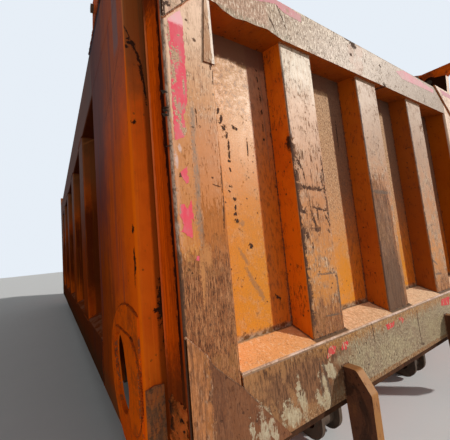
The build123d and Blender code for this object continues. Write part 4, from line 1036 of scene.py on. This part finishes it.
def weldTree(name, finish):
    tree = bpy.data.node_groups.new(name, "GeometryNodeTree")
    tree.interface.new_socket("Lines", in_out="INPUT", socket_type="NodeSocketGeometry")
    for label, kind in (("Spacing", "Float"), ("Radius", "Float"), ("Spread", "Float"), ("Seed", "Int")):
        tree.interface.new_socket(label, in_out="INPUT", socket_type="NodeSocket" + kind)
    tree.interface.new_socket("Beads", in_out="OUTPUT", socket_type="NodeSocketGeometry")
    nodes = Nodes(tree)
    given = nodes.add("NodeGroupInput").socket.node.outputs
    lines, spacing, radius, spread, seed = [Val(nodes, socket) for socket in given[:5]]
    line = nodes.add("GeometryNodeMeshToCurve", None, {"Mesh": lines})
    points = nodes.add("GeometryNodeResampleCurve", {"mode": "LENGTH"}, {"Curve": line, "Length": spacing})
    ball = nodes.add("GeometryNodeMeshUVSphere", None, {"Segments": 6, "Rings": 4, "Radius": 1.0})
    bead = nodes.add("GeometryNodeSetShadeSmooth", None, {"Geometry": ball})
    limits = {2: 1.0 - spread, 3: spread + 1.0, "Seed": seed}
    drawn = nodes.add("FunctionNodeRandomValue", {"data_type": "FLOAT"}, limits, out=1)
    laid = {"Points": points, "Instance": bead, "Scale": drawn * radius}
    beads = nodes.add("GeometryNodeInstanceOnPoints", None, laid)
    real = nodes.add("GeometryNodeRealizeInstances", None, {"Geometry": beads})
    done = nodes.add("GeometryNodeSetMaterial", None, {"Geometry": real, "Material": finish})
    nodes.add("NodeGroupOutput", None, {0: done})
    return tree


def weldPiece(name, lines, body, radius, finish):
    tree = weldTree(name + "Run", finish)
    mesh = bpy.data.meshes.new(name + "Lines")
    points, edges = [], []
    for line in lines:
        edges.extend((len(points) + i, len(points) + i + 1) for i in range(len(line) - 1))
        points.extend(at(*p) for p in line)
    mesh.from_pydata(points, edges, [])
    guide = bpy.data.objects.new(name + "Guide", mesh)
    bpy.context.scene.collection.objects.link(guide)
    modifier = guide.modifiers.new("weldRun", "NODES")
    modifier.node_group = tree
    values = {"Spacing": radius * weldBeads["Pitch"], "Radius": radius, **weldBeads}
    for item in tree.interface.items_tree:
        if item.in_out == "INPUT" and item.name in values:
            modifier[item.identifier] = values[item.name]
    evaluated = guide.evaluated_get(bpy.context.evaluated_depsgraph_get())
    beads = bpy.data.meshes.new_from_object(evaluated)
    beads.name = name
    bpy.data.objects.remove(guide)
    return newPiece(name, beads, body, finish)


def gateWelds():
    f = gateForm
    face, panel, stand, foot = f["ribFace"], f["panel"], f["stand"], f["foot"]
    lines = []
    footAtFace = foot + (f["ledge"] - foot) * face / panel
    for middle in (f["ribPitch"], 0.0, -f["ribPitch"]):
        ends = (middle - f["ribHalf"], middle + f["ribHalf"])
        for y in ends:
            lines.append([(face + stand, y, footAtFace), (panel, y, f["ledge"]), (panel, y, f["railTop"])])
        for z in (footAtFace, f["rail"]):
            lines.append([(face, y, z) for y in ends])
    for y in (f["inner"], -f["inner"]):
        lines.append([(panel, y, f["ledge"]), (panel, y, f["railTop"])])
        lines.append([(stand, y, foot), (panel, y, f["ledge"])])
        lines.append([(0.0, y, stand), (0.0, y, foot - f["gap"])])
    for side in (1, -1):
        lines.append([(-stand, side * (f["side"] - inset), height) for inset, height in f["lowCut"]])
    edge = f["side"] - f["plateInset"]
    for side, (along, down) in ((1, f["leftCut"]), (-1, f["rightCut"])):
        lines.append([(-stand, side * (edge - along), f["top"]), (-stand, side * edge, f["top"] - down)])
    for middle in f["lugs"]:
        ends = (middle - f["lugHalf"], middle + f["lugHalf"])
        for y in ends:
            lines.append([(0.0, y, stand), (0.0, y, f["lugTop"])])
        lines.append([(0.0, y, f["lugTop"]) for y in ends])
    return lines


bodyForm = {
    "ribs": [1.78 + i * 1.05 for i in range(4)], "ribHalf": 0.14, "sheet": 1.144, "out": 1.25,
    "foot": 0.175, "ledge": 0.227, "rail": 1.606, "rear": 0.168, "rearEnd": 0.97, "frontStart": 5.84,
    "bottom": -0.06, "inset": 0.01, "gap": 0.012, "bracketEnd": 1.024, "bracketFoot": 1.9,
    "bracketStart": 0.17, "bracketSides": (1.196, 1.248), "doubler": (0.32, 0.18, 0.335, 0.265),
    "doublerOut": 1.251, "doublerEdge": (0.184, -0.058), "ringX": (0.2925, 0.4775), "ringZ": (0.145, 0.235),
    "ringRadius": 0.11, "ringOut": 1.2555,
}


def bodyWelds():
    f = bodyForm
    sheet, out, rail, foot, gap = f["sheet"], f["out"], f["rail"], f["foot"], f["gap"]
    lines = []
    for middle in f["ribs"]:
        ends = (middle - f["ribHalf"], middle + f["ribHalf"])
        for x in ends:
            start = (x, out - f["inset"], foot + 0.005)
            lines.append([start, (x, sheet, f["ledge"]), (x, sheet, rail), (x, out - gap, rail)])
        lines.append([(x, out, foot) for x in ends])
        lines.append([(x, out - 0.001, rail) for x in ends])
    for x in (f["rearEnd"], f["frontStart"]):
        lines.append([(x, sheet, f["ledge"]), (x, sheet, rail)])
        lines.append([(x, out, f["bottom"] + 0.006), (x, out, foot - gap)])
    lines.append([(f["rear"], sheet + f["inset"], rail), (f["rear"], out - gap, rail)])
    doubler = []
    cx, cz, across, up = f["doubler"]
    for t in [i * math.pi / 40 for i in range(-40, 41)]:
        x, z = cx + across * math.cos(t), cz + up * math.sin(t)
        if x > f["doublerEdge"][0] and z > f["doublerEdge"][1]:
            doubler.append((x, f["doublerOut"], z))
    lines.append(doubler)
    ring = []
    (x0, x1), (z0, z1), radius = f["ringX"], f["ringZ"], f["ringRadius"]
    for cx, cz, start in ((x1, z1, 0), (x0, z1, 90), (x0, z0, 180), (x1, z0, 270)):
        for t in [math.radians(start + i * 90 / 8) for i in range(9)]:
            ring.append((cx + radius * math.cos(t), f["ringOut"], cz + radius * math.sin(t)))
    lines.append(ring + ring[:1])
    near, far, top = *f["bracketSides"], f["bracketFoot"]
    lines.append([(f["bracketStart"], near, top), (f["bracketEnd"], near, top), (f["bracketEnd"], far, top)])
    lines.append([(f["bracketStart"], far + 0.001, top), (f["bracketEnd"] - 0.002, far + 0.001, top)])
    return lines + [[(x, -y, z) for x, y, z in line] for line in lines]


weldPiece("weldsGate", gateWelds(), "tailgate", weldBeads["gateRadius"], materials["weld"])
weldPiece("weldsBody", bodyWelds(), "box", weldBeads["bodyRadius"], materials["bodyWeld"])
print("welds laid")


# Reflective tape, scuffed through to the paint; outlines and rubs in mm on the gate's rear plane
tapeWear = {
    "grime": (1, (0.42, 0.24, 0.17)), "fineGrime": (0.4, (0.42, 0.24, 0.17)),
    "white": (1, (0.72, 0.58, 0.52)), "frayed": (0.7, (0.86, 0.56, 0.55)),
    "rubbed": (1, (0.3, 0.17, 0.1), (0.56, 0.36, 0.22)),
}
tapeSheet = {"step": 0.006, "thickness": 0.0003, "rough": 0.42, "depth": 0.0008, "gloss": 0.25}
tapes = {
    "tapePost": {
        "full": (0.7, 0.056, 0.092), "faded": (0.62, 0.155, 0.17), "share": 0.5, "seed": 80,
        "plane": -0.0005, "ragged": 0.0012,
        "rubs": (
            (1140, 1222, 30, 14, 84), (1150, 1165, 32, 9, 88), (1150, 1060, 50, 4, 88),
            (1125, 1300, 6, 5, 0), (1128, 985, 16, 10, 60), (1156, 1300, 40, 4, 88), (1140, 1020, 6, 14, 0),
            (1118, 1130, 30, 3, 90),
        ),
        "outlines": {
            "main": (
                (1156, 1346), (1110, 1392), (1104, 1359), (1106, 1240), (1108, 1118), (1112, 1068),
                (1127, 1032), (1120, 979), (1131, 958), (1161, 947), (1160, 1089), (1156, 1205),
                (1160, 1304),
            ),
            "second": ((1152, 850), (1128, 871), (1126, 821), (1136, 818), (1147, 838)),
            "third": (
                (1160, 751), (1147, 757), (1137, 737), (1124, 767), (1116, 700), (1128, 712), (1127, 648),
                (1148, 666), (1163, 673), (1152, 693), (1163, 722),
            ),
            "fourth": ((1122, 600), (1109, 599), (1113, 585), (1123, 589)),
        },
    },
    "tapeRail": {
        "full": (0.58, 0.21, 0.225), "faded": (0.5, 0.27, 0.245), "share": 0.7, "seed": 90,
        "plane": -0.0005, "ragged": 0.0012,
        "outlines": {
            "left": (
                (790, 1575), (667, 1612), (610, 1590), (510, 1588), (508, 1626), (600, 1634), (780, 1636),
            ),
            "right": (
                (-330, 1598), (-400, 1566), (-645, 1576), (-858, 1582), (-862, 1610), (-662, 1622),
                (-440, 1634),
            ),
        },
    },
    "tapeEnd": {
        "full": (0.5, 0.17, 0.2), "faded": (0.46, 0.26, 0.25), "share": 0.6, "seed": 92, "plane": -0.0105,
        "ragged": 0.0012, "outlines": {"end": ((-985, 1598), (-1165, 1594), (-1165, 1630), (-960, 1632))},
    },
    "tapeScraps": {
        "full": (0.58, 0.034, 0.04), "faded": (0.5, 0.1, 0.065), "share": 0.6, "seed": 95, "plane": -0.0005,
        "ragged": 0.0019,
        "rubs": (
            (604, 186, 20, 4, 70), (572, 196, 14, 3, 60), (585, 176, 12, 3, 20), (505, 190, 16, 4, 75),
            (484, 183, 10, 3, 40), (-450, 190, 20, 3, 80), (-500, 180, 18, 4, 70), (150, 190, 16, 4, 75),
            (45, 192, 12, 3, 60),
        ),
        "outlines": {
            "first": ((612, 172), (594, 206), (552, 202), (566, 176)),
            "second": ((525, 178), (510, 203), (469, 197), (490, 172)),
            "third": ((-412, 173), (-429, 208), (-545, 206), (-520, 162)),
            "fourth": ((190, 200), (175, 176), (120, 178), (105, 198)),
            "fifth": ((70, 204), (34, 172), (20, 190), (40, 206)),
        },
    },
}


def tapeFinish(name, tape):
    g = Graph(name, {**tapeWear, **tape})
    seed = tape["seed"]
    worn = g.field(26, 6, 0.7, seed, (1, 1, 0.45))
    fine = g.field(240, 3, 0.6, seed)
    fading = g.step(g.field(9, 3, 0.6, seed + 2), 0.4, 0.65) * tape["share"]
    g.colour = g.mix(fading, tape["full"], tape["faded"])
    g.over(g.step(g.upright(60, 12, 3, 0.6, seed + 3), 0.5, 0.6) * 0.4, tape["faded"])
    g.coat("grime", g.step(worn, 0.585, 0.64))
    g.coat("white", g.step(g.field(70, 4, 0.7, seed + 4), 0.66, 0.7))
    g.coat("fineGrime", g.step(fine, 0.6, 0.75))
    g.coat("frayed", g.between(g.z + (fine - 0.5) * 0.02, 1.338, 1.45, 0.006))
    if "rubs" in tape:
        g.coat("rubbed", g.marks("rubs", rag=1.3, wobble=0.02, grain=90), g.step(fine, 0.42, 0.6))
    g.height = fine * 0.3 + worn * 0.6
    g.rough = worn * 0.3 + tapeSheet["rough"]
    return g.finish(tapeSheet)


# A thin sheet cut to an outline, with a ragged edge
def raggedSheet(outline, plane, ragged, seed):
    draw = random.Random(seed)
    corners = [(y / 1000, z / 1000) for y, z in outline]
    edge = []
    for (y, z), (nextY, nextZ) in zip(corners, corners[1:] + corners[:1]):
        pieces = max(2, round(math.hypot(nextY - y, nextZ - z) / tapeSheet["step"]))
        for t in [k / pieces for k in range(pieces)]:
            place = (y + (nextY - y) * t, z + (nextZ - z) * t)
            edge.append(Vector([c + draw.gauss(0, ragged) for c in place]))
    points, _, faces, _, _, _ = delaunay_2d_cdt(edge, [], [list(range(len(edge)))], 1, 1e-6)
    made = bpy.data.meshes.new("tapePart")
    made.from_pydata([at(plane, y, z) for y, z in points], [], faces)
    return made


def tapePiece(name, tape):
    mesh = bmesh.new()
    for i, outline in enumerate(tape["outlines"].values()):
        part = raggedSheet(outline, tape["plane"], tape["ragged"], tape["seed"] + i)
        mesh.from_mesh(part)
        bpy.data.meshes.remove(part)
    mesh.normal_update()
    for face in mesh.faces:
        if face.normal.x > 0:
            face.normal_flip()
    return gatePiece(name, mesh, tapeFinish(name + "Finish", tape), tapeSheet["thickness"])


for name, tape in tapes.items():
    tapePiece(name, tape)
print("tape laid")


# Burrs torn from the left post's outer edge
burrs = {
    "heights": (1.095, 1.047, 1.036, 1.022, 0.93), "reach": (0.006, 0.017), "thick": (0.0015, 0.003),
    "lift": (-0.008, 0.01), "root": (0.002, 0.013), "inset": 0.014, "tip": (-0.004, 0.004), "seed": 12,
}


def burrPiece():
    draw = random.Random(burrs["seed"])
    mesh = bmesh.new()
    edgeY, inset, (near, far) = gateForm["side"], burrs["inset"], burrs["root"]
    tipNear, tipFar = burrs["tip"]
    for z in burrs["heights"]:
        reach, thick, lift = [draw.uniform(*burrs[key]) for key in ("reach", "thick", "lift")]
        low, high, inner = z - thick, z + thick, edgeY - inset
        root = [(near, inner, low), (near, inner, high), (far, edgeY, high), (far, edgeY, low)]
        tip = [(tipNear, edgeY - 0.002 + reach * 0.4, z + lift * 0.6), (tipFar, edgeY + reach, z + lift)]
        a, b, c, d, e, f = [mesh.verts.new(at(*p)) for p in root + tip]
        for corners in ((a, b, c, d), (a, e, b), (d, c, f), (b, e, f, c), (a, d, f, e)):
            mesh.faces.new(corners)
    return gatePiece("postBurrs", mesh, materials["steel"])


burrPiece()


# A rusted lump of torn plate low on the gate's left flank
lump = {
    "from": (0.004, 0.05), "to": (0.128, 0.2), "cells": (26, 30), "rise": 0.013, "grain": 45, "border": 5,
    "seed": 3.7, "thickness": 0.002, "finish": {"depth": 0.003, "gloss": 0.1},
    "rust": ((0.14, 0.045, 0.02), (0.95, 0.24, 0.045)), "flake": (0.06, 0.025, 0.015),
}


def lumpFinish():
    g = Graph("tornRust")
    flakes = g.field(60, 6, 0.7, 5)
    broad = g.field(14, 4, 0.6, 9)
    g.colour = g.mix(g.step(broad, 0.36, 0.52), *lump["rust"])
    g.over(g.step(flakes, 0.56, 0.66), lump["flake"])
    g.rough = broad * 0.1 + 0.85
    g.height = flakes + broad
    return g.finish(lump["finish"])


def lumpPiece():
    across, up = lump["cells"]
    (x0, z0), (x1, z1) = lump["from"], lump["to"]
    mesh = bmesh.new()
    grid = {}
    for i in range(across + 1):
        for k in range(up + 1):
            u, v = i / across, k / up
            x, z = x0 + (x1 - x0) * u, z0 + (z1 - z0) * v
            rough = noise.fractal(Vector((x * lump["grain"], z * lump["grain"], lump["seed"])), 1.0, 2.0, 4)
            border = min(u, 1 - u, v, 1 - v) * lump["border"] + rough * 0.6
            rise = lump["rise"] * max(0.0, min(1.0, border)) * (0.75 + 0.5 * rough)
            grid[i, k] = mesh.verts.new(at(x, gateForm["side"] - 0.001 + rise, z))
    for i in range(across):
        for k in range(up):
            mesh.faces.new((grid[i, k], grid[i, k + 1], grid[i + 1, k + 1], grid[i + 1, k]))
    return gatePiece("flankLump", mesh, lumpFinish(), lump["thickness"])


lumpPiece()
print("torn edges made")

# Floor, daylight-white backdrop and lamps
studio = {
    "floorSize": 60.0, "floor": (0.8, 0.79, 0.76), "floorFinish": {"depth": 0.0002, "gloss": 0.1},
    "backdrop": (0.8, 0.86, 0.93), "sky": (0.93, 0.96, 1.0), "fill": (0.14, 0.62), "key": 3.0,
    "keyAngle": 2.5, "keyTravels": (1.0, 1.02, -0.66),
}


def makeFloor():
    mesh = bpy.data.meshes.new("studioFloor")
    half = studio["floorSize"] / 2
    corners = [(-half, -half, 0), (half, -half, 0), (half, half, 0), (-half, half, 0)]
    mesh.from_pydata(corners, [], [(0, 1, 2, 3)])
    floor = bpy.data.objects.new("studioFloor", mesh)
    bpy.context.scene.collection.objects.link(floor)
    g = Graph("studioFloorFinish")
    g.height = g.field(3, 4, 0.6)
    g.colour = g.mix(g.height, studio["floor"], tuple(c * 0.95 for c in studio["floor"]))
    g.rough = g.height * 0.1 + 0.8
    mesh.materials.append(g.finish(studio["floorFinish"]))


def makeWorld():
    world = bpy.data.worlds.new("studioWorld")
    bpy.context.scene.world = world
    world.use_nodes = True
    nodes = Nodes(world.node_tree)
    path = nodes.add("LightPath").socket.node.outputs
    kinds = ("Camera", "Glossy", "Transmission")
    seen, glossy, through = [Val(nodes, path["Is %s Ray" % kind]) for kind in kinds]
    # More fill from behind the gate than from the sides
    back = nodes.add("SeparateXYZ", None, {0: nodes.add("TexCoord", out="Generated")})
    dark, light = studio["fill"]
    amount = nodes.add("MapRange", None, {0: back, 1: 0.0, 2: -1.0, 3: dark, 4: light})
    fill = nodes.add("Background", None, {0: studio["sky"], 1: amount})
    backdrop = nodes.add("Background", None, {0: studio["backdrop"]})
    clear = seen.most(glossy).most(through)
    nodes.add("OutputWorld", None, {0: nodes.add("MixShader", None, {0: clear, 1: fill, 2: backdrop})})


def makeKey():
    light = bpy.data.lights.new("keyLamp", "SUN")
    light.energy = studio["key"]
    light.angle = math.radians(studio["keyAngle"])
    lamp = bpy.data.objects.new("keyLamp", light)
    lamp.rotation_euler = Vector(studio["keyTravels"]).to_track_quat("-Z", "Y").to_euler()
    bpy.context.scene.collection.objects.link(lamp)


makeFloor()
makeWorld()
makeKey()

# Camera where the photographer stood, in degrees and pixels of a 450 wide frame
shot = {
    "place": (-4.0551, 1.4796, 0.9029), "yaw": -32.77, "pitch": 5.88, "roll": -5.21, "focal": 274.42,
    "frameWidth": 450, "sensor": 36.0, "nearest": 0.02,
}


def makeCamera():
    yaw, pitch, roll = (math.radians(shot[k]) for k in ("yaw", "pitch", "roll"))
    ahead = Vector((math.cos(pitch) * math.cos(yaw), math.cos(pitch) * math.sin(yaw), math.sin(pitch)))
    level = Vector((math.sin(yaw), -math.cos(yaw), 0))
    above = level.cross(ahead)
    right = level * math.cos(roll) + above * math.sin(roll)
    up = above * math.cos(roll) - level * math.sin(roll)
    data = bpy.data.cameras.new("photoCamera")
    data.sensor_width = shot["sensor"]
    data.lens = shot["focal"] * shot["sensor"] / shot["frameWidth"]
    data.clip_start = shot["nearest"]
    camera = bpy.data.objects.new("photoCamera", data)
    turn = Matrix((right, up, -ahead)).transposed().to_4x4()
    camera.matrix_world = Matrix.Translation(shot["place"]) @ turn
    bpy.context.scene.collection.objects.link(camera)
    bpy.context.scene.camera = camera


makeCamera()
bpy.context.scene.view_settings.view_transform = "Standard"
print("studio ready")
